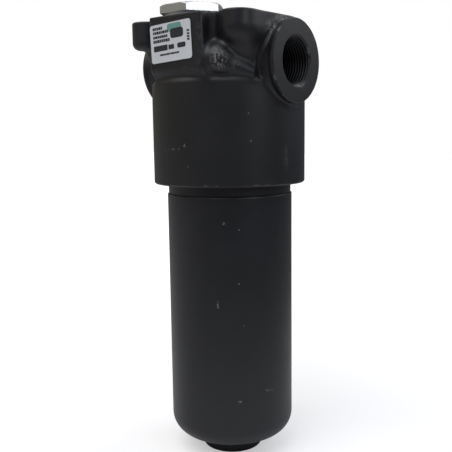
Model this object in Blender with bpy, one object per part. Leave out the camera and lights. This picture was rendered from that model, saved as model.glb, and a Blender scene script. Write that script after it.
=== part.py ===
"""Hydraulic pressure filter with in-line ports.

A cast head carries two threaded ports in line, a block with the chamber for
the clogging indicator, and a mounting boss on either side of the block. The bowl screws into the
head's skirt from below and holds the filter element, which hangs on the
head's spigot. A hex plug closes the chamber, where the bypass valve sits.

The origin is the centre of the bowl's bottom face, +Z runs up the bowl's
axis, and the ports lie along X.
"""
import math

import bmesh
import bpy
from mathutils import Matrix, Vector

MM = 0.001

# Fits and roundness
CLEARANCE = 0.3 * MM
RING_PLAY = 0.05 * MM
SIDES_LARGE = 44
SIDES_MEDIUM = 28
SIDES_SMALL = 18
SIDES_HOLE = 12
SIDES_SECTION = 6
SMOOTH_ANGLE = math.radians(32)

# Bowl
BOWL_R = 38.0 * MM
BOWL_WALL = 8.0 * MM
BOWL_BODY_H = 161.3 * MM
BOWL_CORNER_R = 12.5 * MM
BOWL_FLOOR_THICKNESS = 10.4 * MM
BOWL_INNER_CORNER_R = 8.0 * MM
FOOT_R = 18.3 * MM
FOOT_H = 9.6 * MM
FOOT_CHAMFER = 1.0 * MM
NECK_STEP = 0.7 * MM
NECK_GROOVE_W = 0.8 * MM
NECK_GROOVE_DEPTH = 0.4 * MM
NECK_IN_HEAD = 1.6 * MM
DIMPLE_R = 8.6 * MM
DIMPLE_DEPTH = 2.0 * MM

# Screw joint between bowl and head
RIM_GAP = 6.1 * MM
THREAD_STEP = 0.7 * MM
THREAD_LENGTH = 16.3 * MM
LAND_STEP = 1.6 * MM
LAND_BELOW_GROOVE = 3.4 * MM
SEAL_GROOVE_DEPTH = 2.7 * MM
SEAL_GROOVE_W = 5.4 * MM
LAND_ABOVE_GROOVE = 6.6 * MM
BOWL_LIP_CHAMFER = 1.0 * MM
BACKUP_RING_H = 1.6 * MM

# Head casting
SKIRT_WALL = 9.2 * MM
SKIRT_CHAMFER = 0.6 * MM
SHOULDER_R = 2.0 * MM
SHOULDER_BELOW_PORT = 9.5 * MM
BARREL_FOOT_INSET = 2.8 * MM
BARREL_SIDE_INSET = 2.0 * MM
BARREL_FRONT_INSET = 8.8 * MM
BARREL_BACK_INSET = 2.8 * MM
BARREL_FRONT_SQUARENESS = 5
BARREL_BACK_SQUARENESS = 2
BARREL_BLEND = ((0.0, 0.0), (0.45, 0.15), (0.8, 0.6))
BARREL_FULL_SHARE = 0.3
MILLING_STOCK = 1.0 * MM
CEILING_GAP = 7.0 * MM
CEILING_FILLET = 3.0 * MM

# Ports
PORT_OVER_CEILING = 26.5 * MM
PORT_PROUD = 3.7 * MM
PORT_BOSS_R = 23.3 * MM
PORT_COLLAR_W = 6.5 * MM
PORT_STEP_EDGE = 0.8 * MM
PORT_TUBE_R = 24.8 * MM
TOP_OVER_TUBE = 0.4 * MM
PORT_EDGE_CHAMFER = 0.5 * MM
PORT_THREAD_R = 13.2 * MM
PORT_THREAD_DEPTH = 20.0 * MM
PORT_CHAMFER = 1.05 * MM
GALLERY_R = 11.0 * MM
INLET_GALLERY_END_X = 17.0 * MM
INLET_DROP_X = 26.0 * MM
INLET_DROP_R = 8.4 * MM

# Block for the clogging indicator
BLOCK_HALF_W = 19.5 * MM
BLOCK_PROUD = 1.3 * MM
BLOCK_OVER_SHOULDER = 5.2 * MM
BLOCK_UNDERCUT = 9.0 * MM
BLOCK_EDGE_R = 2.6 * MM
BLOCK_BACK_Y = 14.0 * MM

# Mounting bosses at the front corners of the top face
BOSS_SIDE_INSET = 11.6 * MM
BOSS_FRONT_INSET = 12.2 * MM
BOSS_R = 8.5 * MM
BOSS_H = 15.7 * MM
BOSS_END_R = 5.0 * MM
MOUNT_HOLE_R = 3.4 * MM
MOUNT_HOLE_DEPTH = 13.0 * MM

# Round-ended lug beside the block, just over the shoulder
LUG_R = 8.7 * MM
LUG_SIDE_INSET = 23.3 * MM
LUG_FRONT_INSET = 9.8 * MM
LUG_OVER_SHOULDER = 10.3 * MM
LUG_ROOT = 14.0 * MM
LUG_LEAN = math.radians(8)

# Chamber, plug and bypass valve
CHAMBER_X = -2.0 * MM
CHAMBER_FRONT_INSET = 16.8 * MM
CHAMBER_R = 12.0 * MM
CHAMBER_DEPTH = 20.0 * MM
RING_SEAT_W = 2.2 * MM
RING_SEAT_DEPTH = 2.4 * MM
PLUG_HEX_AF = 33.0 * MM
PLUG_HEX_TURN = math.radians(1.0)
PLUG_HEX_H = 4.6 * MM
PLUG_FLAT_SHARE = 0.96
PLUG_CHAMFER_ANGLE = math.radians(30)
PLUG_COLLAR_R = 15.6 * MM
PLUG_COLLAR_H = 1.4 * MM
PLUG_SHANK_H = 18.0 * MM
PLUG_WALL = 3.1 * MM
PLUG_HOLLOW_DEPTH = 10.0 * MM
SIDE_PASSAGE_R = 5.0 * MM
SIDE_PASSAGE_X = 6.0 * MM
SEAT_R = 9.7 * MM
SEAT_BORE_R = 5.4 * MM
SEAT_H = 7.0 * MM
SEAT_CHAMFER = 1.6 * MM
SEAT_GROOVE_DEPTH = 1.4 * MM
SEAT_GROOVE_W = 2.2 * MM
SEAT_HOLE_R = 5.2 * MM
SEAT_LEDGE = 2.4 * MM
SNAP_RING_H = 1.0 * MM
SNAP_RING_BITE = 0.9 * MM
SNAP_RING_W = 1.5 * MM
SNAP_RING_GAP = math.radians(40)
POPPET_FLANGE_R = 8.4 * MM
POPPET_FLANGE_H = 1.8 * MM
POPPET_NOSE_H = 2.6 * MM
POPPET_STEM_R = 4.2 * MM
POPPET_STEM_H = 15.0 * MM
SPRING_MEAN_R = 6.6 * MM
SPRING_WIRE_R = 0.9 * MM
SPRING_WIRE_PLAY = 0.98
SPRING_TURNS = 6
SPRING_CLOSED_TURNS = 1
SPRING_STEPS = 12
SPRING_PLATE_H = 1.2 * MM
SPRING_PLATE_LIP = 2.0 * MM

# Filter element
SPIGOT_R = 12.0 * MM
SPIGOT_BORE_R = 9.0 * MM
SPIGOT_H = 20.0 * MM
ELEMENT_ROOM = 5.0 * MM
CAP_THICKNESS = 2.6 * MM
CAP_RIM_H = 4.6 * MM
CAP_RIM_WALL = 0.7 * MM
HUB_R = 17.0 * MM
HUB_OVERLAP = 10.0 * MM
HUB_GROOVE_DEPTH = 2.6 * MM
HUB_GROOVE_W = 3.0 * MM
HUB_BELOW_SPIGOT = 4.0 * MM
CAP_STUB_PLAY = 0.6 * MM
CAP_FLOOR_GAP = 4.0 * MM
CORE_SHARE = 0.572
CORE_WALL = 1.0 * MM
CORE_HOLE_R = 2.2 * MM
CORE_HOLE_SIDES = 6
CORE_HOLE_COLUMNS = 6
CORE_HOLE_ROWS = 7
PLEAT_GAP = 0.7 * MM
PLEAT_COUNT = 36
PLEAT_SHEET = 2.4 * MM
PLEAT_TIP_SHARE = 0.16
RESIN_H = 1.8 * MM

# Label
LABEL_W = 30.4 * MM
LABEL_H = 20.8 * MM
LABEL_CORNER_R = 1.6 * MM
LABEL_THICKNESS = 0.15 * MM
LABEL_X = -1.8 * MM
LABEL_OVER_MIDDLE = 0.25 * MM
LABEL_TILT = math.radians(3.0)

# Radii and places round the axis that follow from the sizes above
BOWL_BORE_R = BOWL_R - BOWL_WALL
NECK_R = BOWL_R - NECK_STEP
THREAD_R = NECK_R - THREAD_STEP
LAND_R = THREAD_R - LAND_STEP
SEAL_GROOVE_R = LAND_R - SEAL_GROOVE_DEPTH
ELEMENT_R = BOWL_BORE_R - ELEMENT_ROOM
CORE_R = ELEMENT_R * CORE_SHARE
PLEAT_INNER_R = CORE_R + PLEAT_GAP
CAP_STUB_R = DIMPLE_R - CAP_STUB_PLAY
SKIRT_R = THREAD_R + SKIRT_WALL
BARREL_FOOT_R = SKIRT_R - BARREL_FOOT_INSET
BARREL_HALF_X = SKIRT_R - BARREL_SIDE_INSET
BARREL_FRONT_Y = SKIRT_R - BARREL_FRONT_INSET
BARREL_BACK_Y = SKIRT_R - BARREL_BACK_INSET
PORT_FACE_X = SKIRT_R + PORT_PROUD
BLOCK_FRONT_Y = SKIRT_R + BLOCK_PROUD
BOSS_X = SKIRT_R - BOSS_SIDE_INSET
BOSS_Y = SKIRT_R - BOSS_FRONT_INSET
LUG_X = SKIRT_R - LUG_SIDE_INSET
LUG_Y = SKIRT_R - LUG_FRONT_INSET
CHAMBER_Y = CHAMBER_FRONT_INSET - SKIRT_R
RING_SEAT_R = CHAMBER_R + RING_SEAT_W
PLUG_SHANK_R = CHAMBER_R - CLEARANCE
PLUG_HOLLOW_R = PLUG_SHANK_R - PLUG_WALL
WELL_R = SEAT_R + CLEARANCE

# Heights that follow from the sizes above
FLOOR_Z = FOOT_H + BOWL_FLOOR_THICKNESS
RIM_Z = BOWL_BODY_H + RIM_GAP
NECK_TOP_Z = RIM_Z + NECK_IN_HEAD
NECK_TAPER = NECK_R - THREAD_R
THREAD_TOP_Z = NECK_TOP_Z + NECK_TAPER + THREAD_LENGTH
THREAD_TAPER = THREAD_R - LAND_R
GROOVE_Z = THREAD_TOP_Z + THREAD_TAPER + LAND_BELOW_GROOVE
BOWL_TOP_Z = GROOVE_Z + SEAL_GROOVE_W + LAND_ABOVE_GROOVE
CEILING_Z = BOWL_TOP_Z + CEILING_GAP
PORT_Z = CEILING_Z + PORT_OVER_CEILING
HEAD_TOP_Z = PORT_Z + PORT_TUBE_R + TOP_OVER_TUBE
SHOULDER_Z = PORT_Z - SHOULDER_BELOW_PORT
BLOCK_FOOT_Z = SHOULDER_Z + BLOCK_OVER_SHOULDER
SPIGOT_END_Z = CEILING_Z - SPIGOT_H
WELL_FLOOR_Z = CEILING_Z + SEAT_LEDGE
SEAT_Z = WELL_FLOOR_Z + CLEARANCE
SNAP_RING_Z = SEAT_Z + SEAT_H + CLEARANCE
HUB_TOP_Z = SPIGOT_END_Z + HUB_OVERLAP
TOP_CAP_Z = SPIGOT_END_Z - HUB_BELOW_SPIGOT
BOTTOM_CAP_Z = FLOOR_Z + CAP_FLOOR_GAP
PACK_Z0 = BOTTOM_CAP_Z + CAP_THICKNESS + CLEARANCE
PACK_Z1 = TOP_CAP_Z - CLEARANCE
MEDIUM_Z0 = PACK_Z0 + RESIN_H + CLEARANCE
MEDIUM_Z1 = PACK_Z1 - RESIN_H - CLEARANCE


def clear_objects():
    for old in list(bpy.data.objects):
        bpy.data.objects.remove(old, do_unlink=True)


def finish_material(name, colour, roughness, metallic):
    """A Principled surface in one colour."""
    material = bpy.data.materials.new(name)
    material.use_nodes = True
    shader = material.node_tree.nodes["Principled BSDF"]
    shader.inputs["Base Color"].default_value = (*colour, 1.0)
    shader.inputs["Roughness"].default_value = roughness
    shader.inputs["Metallic"].default_value = metallic
    material.diffuse_color = (*colour, 1.0)
    return material


def object_from(name, bm, material=None, place=(0, 0, 0), parent=None):
    """An object with the bmesh as its shape, smooth apart from its hard edges."""
    bmesh.ops.recalc_face_normals(bm, faces=bm.faces)
    mesh = bpy.data.meshes.new(name)
    bm.to_mesh(mesh)
    bm.free()
    item = bpy.data.objects.new(name, mesh)
    bpy.context.scene.collection.objects.link(item)
    item.location = place
    item.parent = parent
    if material:
        mesh.materials.append(material)
        mesh.shade_smooth()
        mesh.set_sharp_from_angle(angle=SMOOTH_ANGLE)
    return item


def arc(centre_r, centre_z, radius, start, end, steps):
    """Points on an arc in a profile, from one angle to another in degrees."""
    angles = [math.radians(start + (end - start) * i / steps) for i in range(steps + 1)]
    return [(centre_r + radius * math.cos(a), centre_z + radius * math.sin(a)) for a in angles]


def turned(profile, sides):
    """Solid of revolution about Z of a closed profile of (radius, height) points."""
    bm = bmesh.new()
    verts = [bm.verts.new((r, 0, z)) for r, z in profile]
    edges = []
    for i, vert in enumerate(verts):
        following = verts[(i + 1) % len(verts)]
        if vert.co.x > 0 or following.co.x > 0:
            edges.append(bm.edges.new((vert, following)))
    bmesh.ops.spin(bm, geom=verts + edges, cent=(0, 0, 0), axis=(0, 0, 1),
                   angle=2 * math.pi, steps=sides, use_merge=True)
    bmesh.ops.remove_doubles(bm, verts=bm.verts, dist=0.001 * MM)
    return bm


def rod(radius, start, end, sides):
    """Plain cylinder between two points."""
    start, end = Vector(start), Vector(end)
    bm = bmesh.new()
    bmesh.ops.create_cone(bm, cap_ends=True, segments=sides, radius1=radius,
                          radius2=radius, depth=(end - start).length)
    turn = (end - start).to_track_quat("Z", "Y").to_matrix().to_4x4()
    bmesh.ops.transform(bm, matrix=Matrix.Translation((start + end) / 2) @ turn, verts=bm.verts)
    return bm


def extruded(outline, depth):
    """Prism over a closed outline of (x, y) points, from z = 0 up to depth."""
    bm = bmesh.new()
    face = bm.faces.new([bm.verts.new((x, y, 0)) for x, y in outline])
    grown = bmesh.ops.extrude_face_region(bm, geom=[face])
    moved = [g for g in grown["geom"] if isinstance(g, bmesh.types.BMVert)]
    bmesh.ops.translate(bm, vec=(0, 0, depth), verts=moved)
    return bm


def join_loops(bm, loops):
    """Quads from each closed loop of points to the next, with a cap at either end."""
    for first, second in zip(loops, loops[1:]):
        for k in range(len(first)):
            following = (k + 1) % len(first)
            bm.faces.new((first[k], first[following], second[following], second[k]))
    bm.faces.new(loops[0])
    bm.faces.new(loops[-1])


def combine(target, tools, operation):
    """Boolean of a target with each tool in turn. The tools are removed."""
    for tool in tools:
        modifier = target.modifiers.new("combine", "BOOLEAN")
        modifier.operation = operation
        modifier.solver = "MANIFOLD"
        modifier.object = tool
    graph = bpy.context.evaluated_depsgraph_get()
    result = bpy.data.meshes.new_from_object(target.evaluated_get(graph))
    target.modifiers.clear()
    target.data = result
    for tool in tools:
        bpy.data.objects.remove(tool, do_unlink=True)
    return target


def ring(name, centre_r, section_r, z, sides, material, parent):
    """Round-section seal ring that lies flat around Z."""
    profile = arc(centre_r, z, section_r, 0, 360, SIDES_SECTION)[:-1]
    return object_from(name, turned(profile, sides), material, parent=parent)


def bowl_profile():
    outer = [(0, 0), (FOOT_R - FOOT_CHAMFER, 0), (FOOT_R, FOOT_CHAMFER), (FOOT_R, FOOT_H)]
    corner = arc(BOWL_R - BOWL_CORNER_R, FOOT_H + BOWL_CORNER_R, BOWL_CORNER_R, -90, 0, 6)
    groove_r = NECK_R - NECK_GROOVE_DEPTH
    neck = [
        (BOWL_R, BOWL_BODY_H - NECK_GROOVE_DEPTH),
        (groove_r, BOWL_BODY_H),
        (groove_r, BOWL_BODY_H + NECK_GROOVE_W),
        (NECK_R, BOWL_BODY_H + NECK_GROOVE_W + NECK_GROOVE_DEPTH),
        (NECK_R, NECK_TOP_Z),
        (THREAD_R, NECK_TOP_Z + NECK_TAPER),
        (THREAD_R, THREAD_TOP_Z),
        (LAND_R, THREAD_TOP_Z + THREAD_TAPER),
        (LAND_R, GROOVE_Z),
        (SEAL_GROOVE_R, GROOVE_Z),
        (SEAL_GROOVE_R, GROOVE_Z + SEAL_GROOVE_W),
        (LAND_R, GROOVE_Z + SEAL_GROOVE_W),
        (LAND_R, BOWL_TOP_Z - BOWL_LIP_CHAMFER),
        (LAND_R - BOWL_LIP_CHAMFER, BOWL_TOP_Z),
        (BOWL_BORE_R, BOWL_TOP_Z),
    ]
    inner = arc(BOWL_BORE_R - BOWL_INNER_CORNER_R, FLOOR_Z + BOWL_INNER_CORNER_R,
                BOWL_INNER_CORNER_R, 0, -90, 4)
    dimple = [(DIMPLE_R, FLOOR_Z), (DIMPLE_R, FLOOR_Z - DIMPLE_DEPTH), (0, FLOOR_Z - DIMPLE_DEPTH)]
    return outer + corner + neck + inner + dimple


def make_bowl(steel, axis):
    return object_from("bowl", turned(bowl_profile(), SIDES_LARGE), steel, parent=axis)


def make_bowl_seals(rubber, plastic, axis):
    """The O-ring lies low in the groove, with the backup ring above it."""
    bore_r = LAND_R + CLEARANCE
    inner_r = SEAL_GROOVE_R + CLEARANCE
    outer_r = bore_r - CLEARANCE
    section_r = (outer_r - inner_r) / 2 - RING_PLAY
    ring_z = GROOVE_Z + CLEARANCE + section_r
    ring("bowl_o_ring", (inner_r + outer_r) / 2, section_r, ring_z, SIDES_LARGE, rubber, axis)
    high = GROOVE_Z + SEAL_GROOVE_W - CLEARANCE
    low = high - BACKUP_RING_H
    profile = [(inner_r, low), (outer_r, low), (outer_r, high), (inner_r, high)]
    object_from("bowl_backup_ring", turned(profile, SIDES_LARGE), plastic, parent=axis)


def skirt():
    """Turned lower part of the head, with a rounded shoulder."""
    shoulder = arc(SKIRT_R - SHOULDER_R, SHOULDER_Z - SHOULDER_R, SHOULDER_R, 0, 90, 3)
    profile = [(0, RIM_Z), (SKIRT_R - SKIRT_CHAMFER, RIM_Z), (SKIRT_R, RIM_Z + SKIRT_CHAMFER)]
    return object_from("head", turned(profile + shoulder + [(0, SHOULDER_Z)], SIDES_LARGE))


def barrel():
    """Upper part of the head: round at the shoulder, and at the top squared off at the front."""
    base_z = SHOULDER_Z - SHOULDER_R
    boss_end_z = HEAD_TOP_Z - BOSS_H
    levels = [(base_z + (boss_end_z - base_z) * height, blend) for height, blend in BARREL_BLEND]
    levels += [(boss_end_z + BOSS_H * BARREL_FULL_SHARE, 1.0), (HEAD_TOP_Z + 3 * MILLING_STOCK, 1.0)]
    bm = bmesh.new()
    loops = []
    for z, blend in levels:
        loop = []
        for k in range(SIDES_LARGE):
            angle = 2 * math.pi * k / SIDES_LARGE
            c, s = math.cos(angle), math.sin(angle)
            n = BARREL_BACK_SQUARENESS if s > 0 else BARREL_FRONT_SQUARENESS
            half_y = BARREL_BACK_Y if s > 0 else BARREL_FRONT_Y
            top_r = (abs(c / BARREL_HALF_X) ** n + abs(s / half_y) ** n) ** (-1 / n)
            r = BARREL_FOOT_R + (top_r - BARREL_FOOT_R) * blend
            loop.append(bm.verts.new((r * c, r * s, z)))
        loops.append(loop)
    join_loops(bm, loops)
    return object_from("barrel", bm)


def port_tube():
    """Both port collars and the wider tube between them, turned about X."""
    step_x = PORT_FACE_X - PORT_COLLAR_W
    half = [
        (PORT_TUBE_R, step_x - PORT_STEP_EDGE),
        (PORT_TUBE_R - PORT_STEP_EDGE, step_x),
        (PORT_BOSS_R, step_x),
        (PORT_BOSS_R, PORT_FACE_X - PORT_EDGE_CHAMFER),
        (PORT_BOSS_R - PORT_EDGE_CHAMFER, PORT_FACE_X),
    ]
    profile = [(0, -PORT_FACE_X)] + [(r, -x) for r, x in reversed(half)] + half + [(0, PORT_FACE_X)]
    bm = turned(profile, SIDES_LARGE)
    bmesh.ops.rotate(bm, matrix=Matrix.Rotation(math.radians(90), 3, "Y"), verts=bm.verts)
    bmesh.ops.translate(bm, vec=(0, 0, PORT_Z), verts=bm.verts)
    return object_from("port_tube", bm)


def indicator_block():
    """Flat-fronted block with a sloping underside that runs out on the skirt."""
    side_view = [
        (-BLOCK_FRONT_Y, BLOCK_FOOT_Z),
        (-BLOCK_FRONT_Y, HEAD_TOP_Z + 2 * MILLING_STOCK),
        (-BLOCK_BACK_Y, HEAD_TOP_Z + 2 * MILLING_STOCK),
        (-BLOCK_BACK_Y, BLOCK_FOOT_Z - BLOCK_UNDERCUT),
        (-BLOCK_FRONT_Y + BLOCK_UNDERCUT, BLOCK_FOOT_Z - BLOCK_UNDERCUT),
    ]
    bm = extruded(side_view, 2 * BLOCK_HALF_W)
    upright = Matrix(((0, 0, 1, -BLOCK_HALF_W), (1, 0, 0, 0), (0, 1, 0, 0), (0, 0, 0, 1)))
    bmesh.ops.transform(bm, matrix=upright, verts=bm.verts)
    front = [e for e in bm.edges if all(v.co.y < -BLOCK_BACK_Y - BLOCK_EDGE_R for v in e.verts)
             and abs(e.verts[0].co.x - e.verts[1].co.x) < BLOCK_HALF_W]
    bmesh.ops.bevel(bm, geom=front, offset=BLOCK_EDGE_R, segments=3, profile=0.5, affect="EDGES")
    return object_from("indicator_block", bm)


def mounting_boss(side_x):
    """Round boss with a rounded lower end, at a front corner of the top face."""
    low = HEAD_TOP_Z - BOSS_H
    high = HEAD_TOP_Z + MILLING_STOCK
    rounding = arc(BOSS_R - BOSS_END_R, low + BOSS_END_R, BOSS_END_R, -90, 0, 3)
    profile = [(0, low)] + rounding + [(BOSS_R, high), (0, high)]
    return object_from("boss", turned(profile, SIDES_SMALL), place=(side_x * BOSS_X, -BOSS_Y, 0))


def side_lug():
    """Round-ended lug that stands out of the corner between the block and the barrel."""
    end = arc(0, 0, LUG_R, 0, 90, 4)
    bm = turned([(0, -LUG_ROOT), (LUG_R, -LUG_ROOT)] + end, SIDES_MEDIUM)
    bmesh.ops.rotate(bm, matrix=Matrix.Rotation(math.radians(90), 3, "Y"), verts=bm.verts)
    bmesh.ops.rotate(bm, matrix=Matrix.Rotation(LUG_LEAN, 3, "Z"), verts=bm.verts)
    return object_from("lug", bm, place=(LUG_X, -LUG_Y, SHOULDER_Z + LUG_OVER_SHOULDER))


def bowl_socket():
    """Cutter for the skirt's inside: thread, seal bore and the room above the bowl."""
    mouth = 0.7 * MM
    bore_r = LAND_R + CLEARANCE
    thread_r = THREAD_R + CLEARANCE
    neck_r = NECK_R + CLEARANCE
    taper_up = CLEARANCE * 1.5
    profile = [
        (0, RIM_Z - SKIRT_CHAMFER),
        (neck_r + mouth, RIM_Z - SKIRT_CHAMFER),
        (neck_r + mouth, RIM_Z),
        (neck_r, RIM_Z + mouth),
        (neck_r, NECK_TOP_Z + taper_up),
        (thread_r, NECK_TOP_Z + NECK_TAPER + taper_up),
        (thread_r, THREAD_TOP_Z + taper_up),
        (bore_r, THREAD_TOP_Z + THREAD_TAPER + taper_up),
        (bore_r, CEILING_Z - CEILING_FILLET),
        (bore_r - CEILING_FILLET, CEILING_Z),
        (SPIGOT_R, CEILING_Z),
        (SPIGOT_R, SPIGOT_END_Z),
        (0, SPIGOT_END_Z),
    ]
    return object_from("bowl_socket", turned(profile, SIDES_LARGE))


def port_socket(side):
    """Cutter for one port: chamfered thread hole and its cone down to the gallery."""
    deep = PORT_FACE_X - PORT_THREAD_DEPTH
    past = PORT_FACE_X + CLEARANCE
    profile = [
        (0, past),
        (PORT_THREAD_R + PORT_CHAMFER + CLEARANCE, past),
        (PORT_THREAD_R, PORT_FACE_X - PORT_CHAMFER),
        (PORT_THREAD_R, deep),
        (GALLERY_R, deep - (PORT_THREAD_R - GALLERY_R)),
        (0, deep - (PORT_THREAD_R - GALLERY_R)),
    ]
    bm = turned(profile, SIDES_MEDIUM)
    bmesh.ops.rotate(bm, matrix=Matrix.Rotation(math.radians(side * 90), 3, "Y"), verts=bm.verts)
    bmesh.ops.translate(bm, vec=(0, 0, PORT_Z), verts=bm.verts)
    return object_from("port_socket", bm)


def galleries():
    """Cutters for the oil's way from the inlet to the bowl, and from the spigot to the outlet."""
    sides = SIDES_SMALL
    outlet_end = (PORT_FACE_X - PORT_THREAD_DEPTH, 0, PORT_Z)
    inlet_end = (-outlet_end[0], 0, PORT_Z)
    level = [
        rod(GALLERY_R, (-SPIGOT_BORE_R / 2, 0, PORT_Z), outlet_end, sides),
        rod(GALLERY_R, (-INLET_GALLERY_END_X, 0, PORT_Z), inlet_end, sides),
    ]
    upright = [
        rod(SPIGOT_BORE_R, (0, 0, SPIGOT_END_Z - MM), (0, 0, PORT_Z), sides),
        rod(INLET_DROP_R, (0, 0, CEILING_Z - MM), (0, 0, PORT_Z), sides),
    ]
    tools = [object_from("gallery", bm) for bm in level + upright]
    tools[-1].location.x = -INLET_DROP_X
    for tool in tools[-2:]:
        tool.rotation_euler.z = math.pi / sides
    return tools


def chamber_tools():
    """Cutters for the chamber, the well of the valve seat under it, and the side passage."""
    ring_seat_z = HEAD_TOP_Z - RING_SEAT_DEPTH
    step_z = HEAD_TOP_Z - CHAMBER_DEPTH
    groove_r = WELL_R + SNAP_RING_BITE
    groove_top = SNAP_RING_Z + SNAP_RING_H + CLEARANCE
    profile = [
        (0, CEILING_Z - CEILING_FILLET),
        (SEAT_HOLE_R, CEILING_Z - CEILING_FILLET),
        (SEAT_HOLE_R, WELL_FLOOR_Z),
        (WELL_R, WELL_FLOOR_Z),
        (WELL_R, SNAP_RING_Z - CLEARANCE),
        (groove_r, SNAP_RING_Z - CLEARANCE),
        (groove_r, groove_top),
        (WELL_R, groove_top),
        (WELL_R, step_z),
        (CHAMBER_R, step_z),
        (CHAMBER_R, ring_seat_z),
        (RING_SEAT_R, ring_seat_z),
        (RING_SEAT_R, HEAD_TOP_Z + MM),
        (0, HEAD_TOP_Z + MM),
    ]
    well = object_from("chamber", turned(profile, SIDES_MEDIUM), place=(CHAMBER_X, CHAMBER_Y, 0))
    start = (SIDE_PASSAGE_X, CHAMBER_Y + WELL_R / 2, PORT_Z)
    side = object_from("side_passage", rod(SIDE_PASSAGE_R, start, (SIDE_PASSAGE_X, 0, PORT_Z), SIDES_SMALL))
    return [well, side]


def top_mill():
    """Cutter that takes the stock off the whole top face in one plane."""
    reach = 2 * PORT_FACE_X
    bm = extruded([(-reach, -reach), (reach, -reach), (reach, reach), (-reach, reach)], 5 * MILLING_STOCK)
    return object_from("top_mill", bm, place=(0, 0, HEAD_TOP_Z))


def mounting_holes():
    low, high = HEAD_TOP_Z - MOUNT_HOLE_DEPTH, HEAD_TOP_Z + MM
    holes = [rod(MOUNT_HOLE_R, (x, -BOSS_Y, low), (x, -BOSS_Y, high), SIDES_HOLE) for x in (-BOSS_X, BOSS_X)]
    return [object_from("mounting_hole", hole) for hole in holes]


def make_head(iron):
    """The casting: outer forms joined first, then everything that is machined out."""
    head = skirt()
    bosses = [mounting_boss(-1), mounting_boss(1)]
    combine(head, [barrel(), port_tube(), indicator_block(), side_lug()] + bosses, "UNION")
    machined = [top_mill(), bowl_socket(), port_socket(1), port_socket(-1)] + galleries() + chamber_tools()
    combine(head, machined + mounting_holes(), "DIFFERENCE")
    head.data.materials.clear()
    head.data.materials.append(iron)
    head.data.shade_smooth()
    head.data.set_sharp_from_angle(angle=SMOOTH_ANGLE)
    return head


def hexagon(across_flats, turn):
    corner_r = across_flats / math.sqrt(3)
    angles = [turn + math.radians(60 * k) for k in range(6)]
    return [(corner_r * math.cos(a), corner_r * math.sin(a)) for a in angles]


def make_plug(zinc, mouth):
    """Hex plug with a collar, a shank in the chamber and a hollow for the spring."""
    bm = extruded(hexagon(PLUG_HEX_AF, PLUG_HEX_TURN), PLUG_HEX_H)
    base_z = CLEARANCE + PLUG_COLLAR_H
    bmesh.ops.translate(bm, vec=(0, 0, base_z), verts=bm.verts)
    plug = object_from("hex_plug", bm)
    flat_r = PLUG_HEX_AF / 2 * PLUG_FLAT_SHARE
    high = base_z + PLUG_HEX_H
    wide = PLUG_HEX_AF
    fall = (wide - flat_r) * math.tan(PLUG_CHAMFER_ANGLE)
    trim = [(0, base_z - fall), (wide, base_z - fall), (wide, high - fall), (flat_r, high), (0, high)]
    combine(plug, [object_from("hex_chamfer", turned(trim, SIDES_MEDIUM))], "INTERSECT")
    tip = 1.0 * MM
    turned_part = [
        (0, PLUG_HOLLOW_DEPTH - PLUG_SHANK_H),
        (PLUG_HOLLOW_R, PLUG_HOLLOW_DEPTH - PLUG_SHANK_H),
        (PLUG_HOLLOW_R, -PLUG_SHANK_H),
        (PLUG_SHANK_R - tip, -PLUG_SHANK_H),
        (PLUG_SHANK_R, tip - PLUG_SHANK_H),
        (PLUG_SHANK_R, CLEARANCE),
        (PLUG_COLLAR_R, CLEARANCE),
        (PLUG_COLLAR_R, base_z + PLUG_COLLAR_H / 2),
        (0, base_z + PLUG_COLLAR_H / 2),
    ]
    combine(plug, [object_from("shank", turned(turned_part, SIDES_MEDIUM))], "UNION")
    plug.parent = mouth
    plug.data.materials.append(zinc)
    plug.data.shade_smooth()
    plug.data.set_sharp_from_angle(angle=SMOOTH_ANGLE)
    return plug


def make_plug_ring(rubber, mouth):
    inner_r = CHAMBER_R
    outer_r = RING_SEAT_R - CLEARANCE
    section_r = (outer_r - inner_r) / 2 - RING_PLAY
    z = CLEARANCE - RING_SEAT_DEPTH + section_r
    ring("plug_o_ring", (inner_r + outer_r) / 2, section_r, z, SIDES_MEDIUM, rubber, mouth)


def make_valve_seat(steel, rubber, valve_axis):
    """Seat insert at the bottom of the well, with a ring in a groove round it."""
    groove_r = SEAT_R - SEAT_GROOVE_DEPTH
    groove_low = (SEAT_H - SEAT_GROOVE_W) / 3
    profile = [
        (SEAT_BORE_R, 0),
        (SEAT_R, 0),
        (SEAT_R, groove_low),
        (groove_r, groove_low),
        (groove_r, groove_low + SEAT_GROOVE_W),
        (SEAT_R, groove_low + SEAT_GROOVE_W),
        (SEAT_R, SEAT_H),
        (SEAT_BORE_R + SEAT_CHAMFER, SEAT_H),
        (SEAT_BORE_R, SEAT_H - SEAT_CHAMFER),
    ]
    object_from("bypass_seat", turned(profile, SIDES_SMALL), steel, parent=valve_axis)
    inner_r = groove_r + CLEARANCE
    section_r = (SEAT_R - inner_r) / 2
    groove_middle = groove_low + SEAT_GROOVE_W / 2
    ring("bypass_seat_o_ring", inner_r + section_r, section_r, groove_middle, SIDES_SMALL, rubber, valve_axis)


def make_poppet(steel, valve_axis):
    """Poppet whose cone closes on the seat's chamfer. Its origin lies on the seat's top plane."""
    cone_top_r = SEAT_BORE_R + SEAT_CHAMFER
    nose_r = cone_top_r - POPPET_NOSE_H
    lift = CLEARANCE * math.sqrt(2)
    profile = [
        (0, lift - POPPET_NOSE_H),
        (nose_r, lift - POPPET_NOSE_H),
        (cone_top_r, lift),
        (POPPET_FLANGE_R, lift),
        (POPPET_FLANGE_R, lift + POPPET_FLANGE_H),
        (POPPET_STEM_R, lift + POPPET_FLANGE_H),
        (POPPET_STEM_R, lift + POPPET_STEM_H),
        (0, lift + POPPET_STEM_H),
    ]
    return object_from("bypass_poppet", turned(profile, SIDES_SMALL), steel, (0, 0, SEAT_H), valve_axis)


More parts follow.
